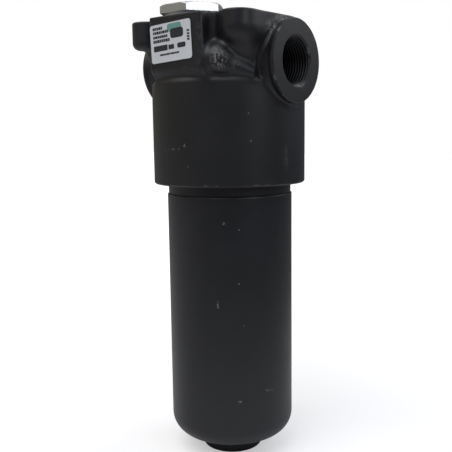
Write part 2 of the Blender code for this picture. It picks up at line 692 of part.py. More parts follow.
def make_snap_ring(spring_steel, valve_axis):
    """Split ring in the well's groove that holds the seat insert down."""
    outer_r = WELL_R + SNAP_RING_BITE - CLEARANCE
    inner_r = outer_r - SNAP_RING_W
    steps = SIDES_SMALL
    start = math.pi / 2 + SNAP_RING_GAP / 2
    sweep = 2 * math.pi - SNAP_RING_GAP
    outer = [(outer_r, start + sweep * i / steps) for i in range(steps + 1)]
    inner = [(inner_r, angle) for r, angle in reversed(outer)]
    outline = [(r * math.cos(a), r * math.sin(a)) for r, a in outer + inner]
    place = (0, 0, SNAP_RING_Z - SEAT_Z)
    object_from("seat_snap_ring", extruded(outline, SNAP_RING_H), spring_steel, place, valve_axis)


def hollow_end_above_seat():
    """Height of the end of the plug's hollow above the valve's origin."""
    return HEAD_TOP_Z - PLUG_SHANK_H + PLUG_HOLLOW_DEPTH - SEAT_Z


def make_spring_plate(steel, valve_axis):
    """Cup washer in the plug's hollow that centres the spring."""
    outer_r = PLUG_HOLLOW_R - CLEARANCE
    pilot_r = SPRING_MEAN_R - SPRING_WIRE_R - CLEARANCE
    high = hollow_end_above_seat() - CLEARANCE
    profile = [
        (0, high - SPRING_PLATE_H - SPRING_PLATE_LIP),
        (pilot_r, high - SPRING_PLATE_H - SPRING_PLATE_LIP),
        (pilot_r, high - SPRING_PLATE_H),
        (outer_r, high - SPRING_PLATE_H),
        (outer_r, high),
        (0, high),
    ]
    object_from("spring_plate", turned(profile, SIDES_SMALL), steel, parent=valve_axis)


def coil_point(turn, turns, low, high):
    """Centre of the wire after some turns, with the first and last turns closed."""
    dead = SPRING_CLOSED_TURNS
    wire = 2 * SPRING_WIRE_R
    live = turns - 2 * dead
    rise = high - low - 2 * wire * dead
    if turn < dead:
        z = low + wire * turn
    elif turn > turns - dead:
        z = high - wire * (turns - turn)
    else:
        z = low + wire * dead + rise * (turn - dead) / live
    angle = 2 * math.pi * turn
    return Vector((SPRING_MEAN_R * math.cos(angle), SPRING_MEAN_R * math.sin(angle), z))


def make_spring(spring_steel, valve_axis):
    """Compression spring between the poppet's flange and the spring plate."""
    lift = CLEARANCE * math.sqrt(2)
    low = SEAT_H + lift + POPPET_FLANGE_H + CLEARANCE + SPRING_WIRE_R
    high = hollow_end_above_seat() - 2 * CLEARANCE - SPRING_PLATE_H - SPRING_WIRE_R
    bm = bmesh.new()
    loops = []
    for i in range(SPRING_TURNS * SPRING_STEPS + 1):
        centre = coil_point(i / SPRING_STEPS, SPRING_TURNS, low, high)
        outward = Vector((centre.x, centre.y, 0)).normalized()
        loop = []
        for k in range(SIDES_SECTION):
            angle = 2 * math.pi * k / SIDES_SECTION
            side = outward * math.cos(angle) + Vector((0, 0, 1)) * math.sin(angle)
            loop.append(bm.verts.new(centre + side * SPRING_WIRE_R * SPRING_WIRE_PLAY))
        loops.append(loop)
    join_loops(bm, loops)
    return object_from("bypass_spring", bm, spring_steel, parent=valve_axis)


def make_top_cap(steel, element_axis):
    """Top cap with a hub that slides over the head's spigot."""
    hub_bore_r = SPIGOT_R + CLEARANCE
    groove_r = hub_bore_r + HUB_GROOVE_DEPTH
    groove_low = SPIGOT_END_Z + (HUB_OVERLAP - HUB_GROOVE_W) / 2
    edge = 0.6 * MM
    profile = [
        (hub_bore_r, TOP_CAP_Z),
        (hub_bore_r, groove_low),
        (groove_r, groove_low),
        (groove_r, groove_low + HUB_GROOVE_W),
        (hub_bore_r, groove_low + HUB_GROOVE_W),
        (hub_bore_r, HUB_TOP_Z - edge),
        (hub_bore_r + edge, HUB_TOP_Z),
        (HUB_R, HUB_TOP_Z),
        (HUB_R, TOP_CAP_Z + CAP_THICKNESS),
        (ELEMENT_R - edge, TOP_CAP_Z + CAP_THICKNESS),
        (ELEMENT_R, TOP_CAP_Z + CAP_THICKNESS - edge),
        (ELEMENT_R, TOP_CAP_Z - CAP_RIM_H),
        (ELEMENT_R - CAP_RIM_WALL, TOP_CAP_Z - CAP_RIM_H),
        (ELEMENT_R - CAP_RIM_WALL, TOP_CAP_Z),
    ]
    return object_from("element_top_cap", turned(profile, SIDES_MEDIUM), steel, parent=element_axis)


def make_bottom_cap(steel, element_axis):
    """Closed bottom cap with a stub that centres the element in the bowl's floor."""
    stub_end = FLOOR_Z - DIMPLE_DEPTH + CLEARANCE
    rim_top = BOTTOM_CAP_Z + CAP_THICKNESS + CAP_RIM_H
    profile = [
        (0, stub_end),
        (CAP_STUB_R, stub_end),
        (CAP_STUB_R, BOTTOM_CAP_Z),
        (ELEMENT_R, BOTTOM_CAP_Z),
        (ELEMENT_R, rim_top),
        (ELEMENT_R - CAP_RIM_WALL, rim_top),
        (ELEMENT_R - CAP_RIM_WALL, BOTTOM_CAP_Z + CAP_THICKNESS),
        (0, BOTTOM_CAP_Z + CAP_THICKNESS),
    ]
    return object_from("element_bottom_cap", turned(profile, SIDES_MEDIUM), steel, parent=element_axis)


def make_element_ring(rubber, element_axis):
    inner_r = SPIGOT_R + CLEARANCE
    outer_r = inner_r + HUB_GROOVE_DEPTH - CLEARANCE
    section_r = (outer_r - inner_r) / 2 - RING_PLAY
    z = SPIGOT_END_Z + HUB_OVERLAP / 2
    ring("element_o_ring", (inner_r + outer_r) / 2, section_r, z, SIDES_MEDIUM, rubber, element_axis)


def make_core_tube(steel, element_axis):
    """Perforated tube that holds the pleats apart under pressure."""
    inner_r = CORE_R - CORE_WALL
    profile = [(inner_r, PACK_Z0), (CORE_R, PACK_Z0), (CORE_R, PACK_Z1), (inner_r, PACK_Z1)]
    tube = object_from("element_core_tube", turned(profile, SIDES_MEDIUM), parent=element_axis)
    spacing = (MEDIUM_Z1 - MEDIUM_Z0) / CORE_HOLE_ROWS
    punches = bmesh.new()
    for row in range(CORE_HOLE_ROWS):
        z = MEDIUM_Z0 + spacing * (row + 0.5)
        for column in range(CORE_HOLE_COLUMNS):
            angle = 2 * math.pi * (column + 0.5 * (row % 2)) / CORE_HOLE_COLUMNS
            way = Vector((math.cos(angle), math.sin(angle), 0))
            punch = rod(CORE_HOLE_R, way * (inner_r - 2 * MM) + Vector((0, 0, z)),
                        way * (CORE_R + 2 * MM) + Vector((0, 0, z)), CORE_HOLE_SIDES)
            part = bpy.data.meshes.new("punch")
            punch.to_mesh(part)
            punch.free()
            punches.from_mesh(part)
            bpy.data.meshes.remove(part)
    combine(tube, [object_from("punches", punches)], "DIFFERENCE")
    tube.data.materials.append(steel)
    tube.data.shade_smooth()
    tube.data.set_sharp_from_angle(angle=SMOOTH_ANGLE)
    return tube


def make_resin_beds(resin, element_axis):
    """Cast resin between each cap and the ends of the pleats."""
    outer_r = ELEMENT_R - CAP_RIM_WALL - CLEARANCE
    for name, low in (("bottom_resin_bed", PACK_Z0), ("top_resin_bed", PACK_Z1 - RESIN_H)):
        high = low + RESIN_H
        profile = [(PLEAT_INNER_R, low), (outer_r, low), (outer_r, high), (PLEAT_INNER_R, high)]
        object_from(name, turned(profile, SIDES_MEDIUM), resin, parent=element_axis)


def make_medium(fleece, element_axis):
    """Pleated medium: one closed zigzag wall between the core tube and the caps' rims."""
    outer_r = ELEMENT_R - CAP_RIM_WALL - CLEARANCE
    bm = bmesh.new()
    outer_loops, inner_loops = [], []
    for z in (MEDIUM_Z0, MEDIUM_Z1):
        outer_loop, inner_loop = [], []
        for pleat in range(PLEAT_COUNT):
            for offset, high in ((-PLEAT_TIP_SHARE, True), (PLEAT_TIP_SHARE, True),
                                 (0.5 - PLEAT_TIP_SHARE, False), (0.5 + PLEAT_TIP_SHARE, False)):
                angle = 2 * math.pi * (pleat + offset) / PLEAT_COUNT
                far = outer_r if high else PLEAT_INNER_R + PLEAT_SHEET
                near = outer_r - PLEAT_SHEET if high else PLEAT_INNER_R
                outer_loop.append(bm.verts.new((far * math.cos(angle), far * math.sin(angle), z)))
                inner_loop.append(bm.verts.new((near * math.cos(angle), near * math.sin(angle), z)))
        outer_loops.append(outer_loop)
        inner_loops.append(inner_loop)
    count = len(outer_loops[0])
    for k in range(count):
        n = (k + 1) % count
        bm.faces.new((outer_loops[0][k], outer_loops[0][n], outer_loops[1][n], outer_loops[1][k]))
        bm.faces.new((inner_loops[0][n], inner_loops[0][k], inner_loops[1][k], inner_loops[1][n]))
        for level in (0, 1):
            outer_loop, inner_loop = outer_loops[level], inner_loops[level]
            bm.faces.new((outer_loop[k], outer_loop[n], inner_loop[n], inner_loop[k]))
    return object_from("element_medium", bm, fleece, parent=element_axis)


def make_label(paper):
    """Thin rounded label on the block's front face, a little askew."""
    half_w, half_h = LABEL_W / 2 - LABEL_CORNER_R, LABEL_H / 2 - LABEL_CORNER_R
    corners = ((half_w, half_h, 0), (-half_w, half_h, 90), (-half_w, -half_h, 180), (half_w, -half_h, 270))
    outline = []
    for x, y, start in corners:
        outline += arc(x, y, LABEL_CORNER_R, start, start + 90, 4)
    label = object_from("label", extruded(outline, LABEL_THICKNESS), paper)
    middle_z = (BLOCK_FOOT_Z + HEAD_TOP_Z) / 2
    label.location = (LABEL_X, -BLOCK_FRONT_Y - CLEARANCE, middle_z + LABEL_OVER_MIDDLE)
    label.rotation_euler = (math.radians(90), -LABEL_TILT, 0)
    return label


def empty(name, place, parent=None):
    marker = bpy.data.objects.new(name, None)
    bpy.context.scene.collection.objects.link(marker)
    marker.location = place
    marker.parent = parent
    return marker


def build():
    clear_objects()
    iron = finish_material("blackened_iron", (0.022, 0.022, 0.024), 0.42, 0.0)
    bowl_steel = finish_material("blackened_steel", (0.018, 0.018, 0.020), 0.38, 0.0)
    zinc = finish_material("zinc_plate", (0.72, 0.74, 0.72), 0.30, 1.0)
    bright_steel = finish_material("bright_steel", (0.55, 0.55, 0.54), 0.35, 1.0)
    spring_steel = finish_material("spring_steel", (0.30, 0.30, 0.31), 0.35, 1.0)
    tin_plate = finish_material("tin_plate", (0.62, 0.62, 0.60), 0.32, 1.0)
    rubber = finish_material("seal_rubber", (0.015, 0.015, 0.015), 0.60, 0.0)
    backup = finish_material("backup_plastic", (0.82, 0.80, 0.74), 0.45, 0.0)
    fleece = finish_material("glass_fleece", (0.86, 0.84, 0.76), 0.85, 0.0)
    resin = finish_material("casting_resin", (0.70, 0.62, 0.42), 0.35, 0.0)
    paper = finish_material("label_film", (0.66, 0.68, 0.69), 0.40, 0.0)

    bowl_axis = empty("bowl_axis", (0, 0, 0))
    seal_axis = empty("seal_axis", (0, 0, 0))
    element_axis = empty("element_axis", (0, 0, 0))
    chamber_mouth = empty("chamber_mouth", (CHAMBER_X, CHAMBER_Y, HEAD_TOP_Z))
    valve_axis = empty("valve_axis", (CHAMBER_X, CHAMBER_Y, SEAT_Z))

    make_head(iron)
    make_bowl(bowl_steel, bowl_axis)
    make_bowl_seals(rubber, backup, seal_axis)
    make_top_cap(tin_plate, element_axis)
    make_bottom_cap(tin_plate, element_axis)
    make_core_tube(tin_plate, element_axis)
    make_medium(fleece, element_axis)
    make_resin_beds(resin, element_axis)
    make_element_ring(rubber, element_axis)
    make_plug(zinc, chamber_mouth)
    make_plug_ring(rubber, chamber_mouth)
    make_valve_seat(bright_steel, rubber, valve_axis)
    make_poppet(bright_steel, valve_axis)
    make_spring(spring_steel, valve_axis)
    make_snap_ring(spring_steel, valve_axis)
    make_spring_plate(bright_steel, valve_axis)
    make_label(paper)


build()
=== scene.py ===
import math

import bmesh
import bpy
import numpy as np
from mathutils import Matrix, Vector


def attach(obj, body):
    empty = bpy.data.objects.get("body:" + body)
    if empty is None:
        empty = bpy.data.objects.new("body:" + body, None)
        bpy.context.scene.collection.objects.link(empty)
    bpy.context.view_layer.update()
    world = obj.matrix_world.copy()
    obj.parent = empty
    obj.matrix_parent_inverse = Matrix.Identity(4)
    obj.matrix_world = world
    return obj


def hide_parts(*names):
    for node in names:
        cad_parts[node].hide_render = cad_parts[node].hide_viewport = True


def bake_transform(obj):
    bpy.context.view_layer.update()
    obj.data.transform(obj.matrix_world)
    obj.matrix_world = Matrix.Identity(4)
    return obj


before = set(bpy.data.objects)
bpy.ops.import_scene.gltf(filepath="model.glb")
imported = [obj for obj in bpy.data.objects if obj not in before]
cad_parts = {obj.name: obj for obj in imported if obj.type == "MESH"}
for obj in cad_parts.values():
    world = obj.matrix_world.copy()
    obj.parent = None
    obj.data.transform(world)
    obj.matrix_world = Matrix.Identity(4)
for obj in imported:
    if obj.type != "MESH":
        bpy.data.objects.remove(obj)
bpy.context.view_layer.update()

MM = 0.001

# Sizes in millimetres, the same as the frame's
RIM_Z = 167.4
SHOULDER_Z = 227.0
TOP_Z = 261.7
PORT_Z = 236.5
CEILING_Z = 210.0
SPIGOT_END_Z = 190.0
SKIRT_R = 45.8
BARREL_FOOT_R = 43.0
BARREL_HALF_X = 43.8
BARREL_FRONT_Y = 37.0
BARREL_BACK_Y = 43.0
PORT_FACE_X = 49.5
PORT_R = 23.3
PORT_THREAD_R = 13.2
PORT_BORE_R = 11.0
TUBE_R = 24.8
BOWL_R = 38.0
BOWL_BODY_H = 161.3
NECK_R = 37.3
LAND_R = 35.0
BOWL_THREAD_R = 35.75
BOWL_THREAD_Z = 171.2
BOWL_THREAD_PITCH = 2.0
PORT_THREAD_X = 31.2
PORT_THREAD_PITCH = 1.81
DROP_X = -26.0
DROP_R = 8.4
SPIGOT_BORE_R = 9.0
CHAMBER = (-2.0, -29.0)
CHAMBER_R = 12.0
PLUG_HALF_FLATS = 16.5
PLUG_TOP = 6.3
PLUG_COLLAR_R = 15.6
PLUG_SHANK_R = 11.7
PLUG_SHANK_H = 18.0
COIL_MEAN_R = 6.6
COIL_WIRE_R = 0.9
COIL_TURNS = 6
BOSS = (34.2, 33.6)
BOSS_R = 8.5
HOLE_R = 3.4
BOSS_END_Z = 246.0
BLOCK_HALF_W = 19.5
BLOCK_FRONT_Y = 47.1
BLOCK_FOOT_Z = 232.3
LABEL_CENTRE = (-1.8, 247.2)
LABEL_SIZE = (30.4, 20.8)
LABEL_TILT = math.radians(3.0)
LABEL_SEAT = 0.3

# The camera, as fitted to the photograph
CAMERA_AZ = math.radians(39.03)
CAMERA_REACH = 0.42131
CAMERA_Z = 0.20038
CAMERA_YAW = math.radians(-0.350)
CAMERA_PITCH = math.radians(8.177)
CAMERA_ROLL = math.radians(-0.783)
FOCAL_PX = 685.84
PICTURE_PX = 452

# Marks that the photograph shows, as column and row in the picture, the chips with a size in millimetres
SKIRT_SCRATCH_PX = (175, 148.8)
SKIRT_SCRATCH_END_PX = (185, 146.0)
SKIRT_RUB_PX = (286, 158.0)
BOWL_NICK_PX = (218, 305)
BOWL_HIGH_MARK_PX = (224, 223.5)
BOWL_LOW_MARK_PX = (240, 402)
BOWL_LOW_SCRATCH_PX = (270, 390)
SKIRT_CHIPS_PX = ((248.5, 113, 0.45), (250.9, 141, 0.5), (188, 167, 0.4), (165, 150, 0.35))
BOWL_CHIPS_PX = ((224, 223.5, 0.45), (239, 230, 0.5), (239, 284, 0.6), (218, 305, 0.5),
                 (244, 326, 0.4), (240, 402, 0.45), (267, 390, 0.5), (273, 390, 0.4))

# Tones of the blackened surface where it is turned, scratched, rubbed or chipped, the rubbed grey also serving
# as painted light on some patches
TURNED_BLACK = (0.009, 0.009, 0.0095)
SCRATCH_GREY = (0.040, 0.040, 0.042)
RUBBED_AND_PAINTED_LIGHT_GREY = (0.17, 0.17, 0.168)
CHIP_GREY = (0.13, 0.13, 0.13)


def at_mm(x, y, z):
    return (x * MM, y * MM, z * MM)


def camera_axes():
    """The camera's right, up and forward directions, and its place."""
    level = Vector((math.cos(CAMERA_AZ), math.sin(CAMERA_AZ), 0))
    ahead = Vector((-math.sin(CAMERA_AZ), math.cos(CAMERA_AZ), 0))
    right = math.cos(CAMERA_YAW) * level - math.sin(CAMERA_YAW) * ahead
    forward = math.cos(CAMERA_YAW) * ahead + math.sin(CAMERA_YAW) * level
    forward = math.cos(CAMERA_PITCH) * forward - Vector((0, 0, math.sin(CAMERA_PITCH)))
    up = right.cross(forward)
    turned_right = math.cos(CAMERA_ROLL) * right + math.sin(CAMERA_ROLL) * up
    turned_up = math.cos(CAMERA_ROLL) * up - math.sin(CAMERA_ROLL) * right
    place = Vector((math.sin(CAMERA_AZ) * CAMERA_REACH, -math.cos(CAMERA_AZ) * CAMERA_REACH, CAMERA_Z))
    return turned_right, turned_up, forward, place


def seen_on_cylinder(picture_place, radius):
    """The point, in metres, that a place in the picture shows on an upright cylinder of some millimetres."""
    column, row = picture_place
    right, up, forward, place = camera_axes()
    half = PICTURE_PX / 2
    way = forward + right * (column - half) / FOCAL_PX + up * (half - row) / FOCAL_PX
    a = way.x ** 2 + way.y ** 2
    b = place.x * way.x + place.y * way.y
    c = place.x ** 2 + place.y ** 2 - (radius * MM) ** 2
    return tuple(place + way * ((-b - math.sqrt(b * b - a * c)) / a))


def new_object(name, data):
    item = bpy.data.objects.new(name, data)
    bpy.context.scene.collection.objects.link(item)
    return item


def mesh_object(name, verts, faces, material, smooth=True):
    """An object with its points in metres, in the frame's axes."""
    mesh = bpy.data.meshes.new(name)
    mesh.from_pydata(verts, [], faces)
    mesh.materials.append(material)
    if smooth:
        mesh.shade_smooth()
    return new_object(name, mesh)


def surface_net(field, axes):
    """Points and quads of the zero surface of a field sampled on a grid, inside negative."""
    shape = np.array(field.shape) - 1
    inside = field < 0
    corner_count = sum(
        inside[a:a + shape[0], b:b + shape[1], c:c + shape[2]].astype(np.int8)
        for a in (0, 1) for b in (0, 1) for c in (0, 1))
    active = (corner_count > 0) & (corner_count < 8)
    ids = np.full(active.shape, -1, np.int64)
    ids[active] = np.arange(active.sum())
    total = int(active.sum())
    sums = np.zeros((total, 3))
    counts = np.zeros(total)
    quads = []
    for axis in range(3):
        u, v = (axis + 1) % 3, (axis + 2) % 3
        low = [slice(None)] * 3
        high = [slice(None)] * 3
        low[axis], high[axis] = slice(0, -1), slice(1, None)
        f0, f1 = field[tuple(low)], field[tuple(high)]
        where = np.argwhere((f0 < 0) != (f1 < 0))
        a, b = f0[tuple(where.T)], f1[tuple(where.T)]
        share = a / (a - b)
        points = np.empty((len(where), 3))
        step = axes[axis][where[:, axis] + 1] - axes[axis][where[:, axis]]
        points[:, axis] = axes[axis][where[:, axis]] + share * step
        points[:, u] = axes[u][where[:, u]]
        points[:, v] = axes[v][where[:, v]]
        corners = []
        for du, dv in ((-1, -1), (0, -1), (0, 0), (-1, 0)):
            cell = where.copy()
            cell[:, u] += du
            cell[:, v] += dv
            corner = ids[tuple(cell.T)]
            corners.append(corner)
            for k in range(3):
                sums[:, k] += np.bincount(corner, points[:, k], total)
            counts += np.bincount(corner, minlength=total)
        quad = np.stack(corners, 1)
        outward = a < 0
        quad[~outward] = quad[~outward][:, ::-1]
        quads.append(quad)
    return sums / counts[:, None], np.concatenate(quads)


def field_gradient(field, points, step=0.02):
    slopes = []
    for axis in range(3):
        shift = np.zeros(3)
        shift[axis] = step
        ahead, behind = points + shift, points - shift
        slopes.append((field(*ahead.T) - field(*behind.T)) / (2 * step))
    return np.stack(slopes, 1)


def field_object(name, field, axes, material):
    """A closed mesh over the zero surface of field(x, y, z), with all its sizes in millimetres."""
    grid = np.meshgrid(*axes, indexing="ij")
    points, quads = surface_net(field(*grid), axes)
    for _ in range(3):
        slope = field_gradient(field, points)
        steepness = np.maximum((slope ** 2).sum(1), 0.25)
        points -= slope * (field(*points.T) / steepness)[:, None]
    return mesh_object(name, (points * MM).tolist(), quads.tolist(), material)


def field_bend(field, points, step=0.5):
    """How convex the zero surface is at each point, as the sum of its two curvatures."""
    total = -6 * field(*points.T)
    for axis in range(3):
        shift = np.zeros(3)
        shift[axis] = step
        total += field(*(points + shift).T) + field(*(points - shift).T)
    return total / step ** 2


def read_values(items, key, kind=float, width=1):
    values = np.empty(len(items) * width, kind)
    items.foreach_get(key, values)
    return values


def mark_wear(item, field=None, sharp=math.radians(32), small_face=1.5):
    """Stores in the attribute wear, from 0 to 1, how much each corner of a small face stands out as an edge."""
    mesh = item.data
    wear = np.zeros(len(mesh.vertices))
    if field:
        places = read_values(mesh.vertices, "co", width=3).reshape(-1, 3) / MM
        on_surface = np.abs(field(*places.T)) < 0.05
        wear = 0.35 * np.clip((field_bend(field, places) - 0.10) / 0.45, 0, 1) * on_surface
    bm = bmesh.new()
    bm.from_mesh(mesh)
    for edge in bm.edges:
        if len(edge.link_faces) == 2 and edge.is_convex and edge.calc_face_angle() > sharp:
            for vert in edge.verts:
                wear[vert.index] = 1
    bm.free()
    small = read_values(mesh.polygons, "area") < small_face * MM ** 2
    totals = read_values(mesh.polygons, "loop_total", np.int32)
    corners = read_values(mesh.loops, "vertex_index", np.int32)
    values = wear[corners] * np.repeat(small, totals)
    layer = mesh.attributes.new("wear", "FLOAT", "CORNER")
    layer.data.foreach_set("value", values)


def smooth_min(a, b, k):
    """The lesser of two distances, blended over the width k where they meet."""
    h = np.clip(0.5 + 0.5 * (b - a) / k, 0, 1)
    return b + (a - b) * h - k * h * (1 - h)


def smooth_max(a, b, k):
    return -smooth_min(-a, -b, k)


def rounded_corner(a, b, radius):
    """Both distances kept negative, with a round edge where they meet."""
    p, q = a + radius, b + radius
    return np.hypot(np.maximum(p, 0), np.maximum(q, 0)) + np.minimum(np.maximum(p, q), 0) - radius


def tapered_capsule(x, y, z, start, end, start_r, end_r):
    """Distance to a rounded cone between two points."""
    start, end = np.array(start, float), np.array(end, float)
    way = end - start
    share = ((x - start[0]) * way[0] + (y - start[1]) * way[1] + (z - start[2]) * way[2]) / way.dot(way)
    share = np.clip(share, 0, 1)
    gap = np.sqrt(sum((p - s - share * w) ** 2 for p, s, w in zip((x, y, z), start, way)))
    return gap - (start_r + (end_r - start_r) * share)


def smooth_step(low, high, value):
    t = np.clip((value - low) / (high - low), 0, 1)
    return t * t * (3 - 2 * t)


def barrel_part(x, y, z):
    """Round at the shoulder, and at the top squared off at the front and round at the back."""
    r = np.hypot(x, y)
    on_axis = r < 1e-6
    c = np.where(on_axis, 1.0, np.abs(x) / np.maximum(r, 1e-6))
    s = np.abs(y) / np.maximum(r, 1e-6)
    front = ((c / BARREL_HALF_X) ** 5 + (s / BARREL_FRONT_Y) ** 5) ** -0.2
    back = ((c / BARREL_HALF_X) ** 2 + (s / BARREL_BACK_Y) ** 2) ** -0.5
    top_r = np.where(y < 0, front, back)
    return (r - (BARREL_FOOT_R + (top_r - BARREL_FOOT_R) * smooth_step(228, 251, z))) * 0.97


def tube_part(x, y, z):
    """The port collars, and the wider tube between them that ends in a ridge."""
    ridge_x = 38.0 + 5.6 * smooth_step(-6, 22, z - PORT_Z)
    around = np.hypot(y, z - PORT_Z)
    wide = rounded_corner(around - TUBE_R, (np.abs(x) - ridge_x) * 0.95, 0.6)
    waist = 0.9 * (1 - smooth_step(45.5, 47.5, np.abs(x)))
    collar = np.maximum(around - PORT_R + waist, np.abs(x) - PORT_FACE_X - 1.0)
    return smooth_min(wide, collar, 0.5)


def block_part(x, y, z):
    """Flat front with rounded corners, over a slope that runs out on the skirt."""
    front = -BLOCK_FRONT_Y - y
    slope = (front - (z - BLOCK_FOOT_Z)) / math.sqrt(2)
    block = rounded_corner(np.abs(x) - BLOCK_HALF_W, np.maximum(front, y + 14.0), 2.6)
    return smooth_max(block, slope, 1.6)


def boss_part(x, y, z):
    """The two mounting bosses at the front, the right one rounder underneath."""
    around = np.hypot(np.abs(x) - BOSS[0], y + BOSS[1]) - BOSS_R
    return rounded_corner(around, BOSS_END_Z - z, np.where(x > 0, 8.0, 4.0))


def lug_part(x, y, z):
    """Round-ended lug on the block's right, with a tail that runs down along the barrel."""
    lug = tapered_capsule(x, y, z, (10.0, -37.5, 237.3), (22.8, -36.0, 237.3), 8.7, 8.7)
    tail = tapered_capsule(x, y, z, (25.5, -33.0, 235.0), (36.5, -25.5, 230.0), 7.0, 3.0)
    return smooth_min(lug, tail, 2.5)


def head_field(x, y, z):
    """Distance to the outside of the cast head before it is machined, a little long at the lower end."""
    skirt = rounded_corner(np.hypot(x, y) - SKIRT_R, z - SHOULDER_Z, 2.0)
    whole = smooth_min(barrel_part(x, y, z), boss_part(x, y, z), np.where(x > 0, 9.0, 2.0))
    whole = smooth_min(whole, block_part(x, y, z), 5.0)
    whole = smooth_min(whole, lug_part(x, y, z), 3.0)
    whole = smooth_min(whole, tube_part(x, y, z), 2.5)
    whole = smooth_min(np.maximum(whole, -BLOCK_FRONT_Y - y), skirt, 3.0)
    return np.maximum(rounded_corner(whole, z - TOP_Z, 0.9), RIM_Z - 1.6 - z)


def plug_field(x, y, z):
    """Distance to the hex plug, with its chamfered corners, its collar and its hollow shank."""
    px, py, pz = x - CHAMBER[0], y - CHAMBER[1], z - TOP_Z
    turn = math.radians(1.0)
    flats = None
    for k in range(3):
        a = turn + math.radians(30 + 60 * k)
        gap = np.abs(px * math.cos(a) + py * math.sin(a)) - PLUG_HALF_FLATS
        flats = gap if flats is None else rounded_corner(flats, gap, 0.25)
    r = np.hypot(px, py)
    cone = (r - PLUG_HALF_FLATS - 1.0) * 0.5 + (pz - PLUG_TOP) * math.cos(math.radians(30))
    body = smooth_max(flats, cone, 0.35)
    body = smooth_max(body, pz - PLUG_TOP, 0.3)
    body = np.maximum(body, 1.5 - pz)
    collar = rounded_corner(r - PLUG_COLLAR_R, np.maximum(pz - 1.7, 0.3 - pz), 0.15)
    shank = rounded_corner(r - PLUG_SHANK_R, np.maximum(pz - 1.0, -PLUG_SHANK_H - pz), 0.8)
    whole = np.minimum(np.minimum(body, collar), shank)
    hollow = np.maximum(r - 8.6, pz + 8.0)
    return np.maximum(whole, -hollow)


def set_inputs(tree, node, inputs):
    """Links a node's inputs, by name or number, to other nodes' outputs, or sets them to a constant."""
    for key, value in inputs.items():
        if isinstance(value, bpy.types.NodeSocket):
            tree.links.new(value, node.inputs[key])
        else:
            node.inputs[key].default_value = value


def new_node(tree, kind, inputs, **settings):
    node = tree.nodes.new(kind)
    for key, value in settings.items():
        setattr(node, key, value)
    set_inputs(tree, node, inputs)
    return node


def node_math(tree, operation, a, b=None):
    inputs = {0: a} if b is None else {0: a, 1: b}
    return new_node(tree, "ShaderNodeMath", inputs, operation=operation).outputs[0]


def times(tree, a, b):
    return node_math(tree, "MULTIPLY", a, b)


def plus(tree, a, b):
    return node_math(tree, "ADD", a, b)


def minus(tree, a, b):
    return node_math(tree, "SUBTRACT", a, b)


def highest(tree, a, b):
    return node_math(tree, "MAXIMUM", a, b)


def geometry_tree(name, inputs):
    """A geometry tree with named sockets, and the outputs of its input node."""
    tree = bpy.data.node_groups.new(name, "GeometryNodeTree")
    for key, kind in {**inputs, "Material": "Material"}.items():
        tree.interface.new_socket(key, in_out="INPUT", socket_type="NodeSocket" + kind)
    tree.interface.new_socket("Geometry", in_out="OUTPUT", socket_type="NodeSocketGeometry")
    return tree, tree.nodes.new("NodeGroupInput").outputs


def end_tree(tree, geometry, material):
    """Closes a geometry tree with Realize Instances and Set Material."""
    realise = new_node(tree, "GeometryNodeRealizeInstances", {0: geometry})
    paint = new_node(tree, "GeometryNodeSetMaterial", {"Geometry": realise.outputs[0], "Material": material})
    new_node(tree, "NodeGroupOutput", {"Geometry": paint.outputs[0]})
    return tree


def revolve_tree():
    """Turns a profile of points in the XZ plane about Z: one row of the grid for each step round."""
    tree, given = geometry_tree("revolve", {"Profile": "Geometry", "Steps": "Int", "Profile Points": "Int"})
    grid = new_node(tree, "GeometryNodeMeshGrid", {
        "Vertices X": plus(tree, given["Steps"], 1), "Vertices Y": given["Profile Points"]})
    index = tree.nodes.new("GeometryNodeInputIndex").outputs[0]
    column = node_math(tree, "FLOOR", node_math(tree, "DIVIDE", index, given["Profile Points"]))
    row = minus(tree, index, times(tree, column, given["Profile Points"]))
    position = tree.nodes.new("GeometryNodeInputPosition").outputs[0]
    sample = new_node(tree, "GeometryNodeSampleIndex", {
        "Geometry": given["Profile"], "Value": position, "Index": row}, data_type="FLOAT_VECTOR")
    angle = times(tree, node_math(tree, "DIVIDE", column, given["Steps"]), 2 * math.pi)
    turn = new_node(tree, "ShaderNodeVectorRotate", {
        "Vector": sample.outputs[0], "Angle": angle}, rotation_type="Z_AXIS")
    place = new_node(tree, "GeometryNodeSetPosition", {
        "Geometry": grid.outputs["Mesh"], "Position": turn.outputs[0]})
    merge = new_node(tree, "GeometryNodeMergeByDistance", {
        "Geometry": place.outputs[0], "Distance": 0.002 * MM})
    return end_tree(tree, merge.outputs[0], given["Material"])


def thread_tree():
    """One continuous ridge that winds about Z, as a screw thread does."""
    inputs = {"Geometry": "Geometry", "Radius": "Float", "Pitch": "Float", "Turns": "Float", "Ridge": "Float"}
    tree, given = geometry_tree("screw_ridge", inputs)
    spiral = new_node(tree, "GeometryNodeCurveSpiral", {
        "Resolution": 96, "Rotations": given["Turns"], "Start Radius": given["Radius"],
        "End Radius": given["Radius"], "Height": times(tree, given["Pitch"], given["Turns"])})
    section = new_node(tree, "GeometryNodeCurvePrimitiveCircle", {"Resolution": 4, "Radius": given["Ridge"]})
    sweep = new_node(tree, "GeometryNodeCurveToMesh", {
        "Curve": spiral.outputs[0], "Profile Curve": section.outputs[0], "Fill Caps": True})
    return end_tree(tree, sweep.outputs[0], given["Material"])


def evaluated_mesh(item):
    graph = bpy.context.evaluated_depsgraph_get()
    return bpy.data.meshes.new_from_object(item.evaluated_get(graph))


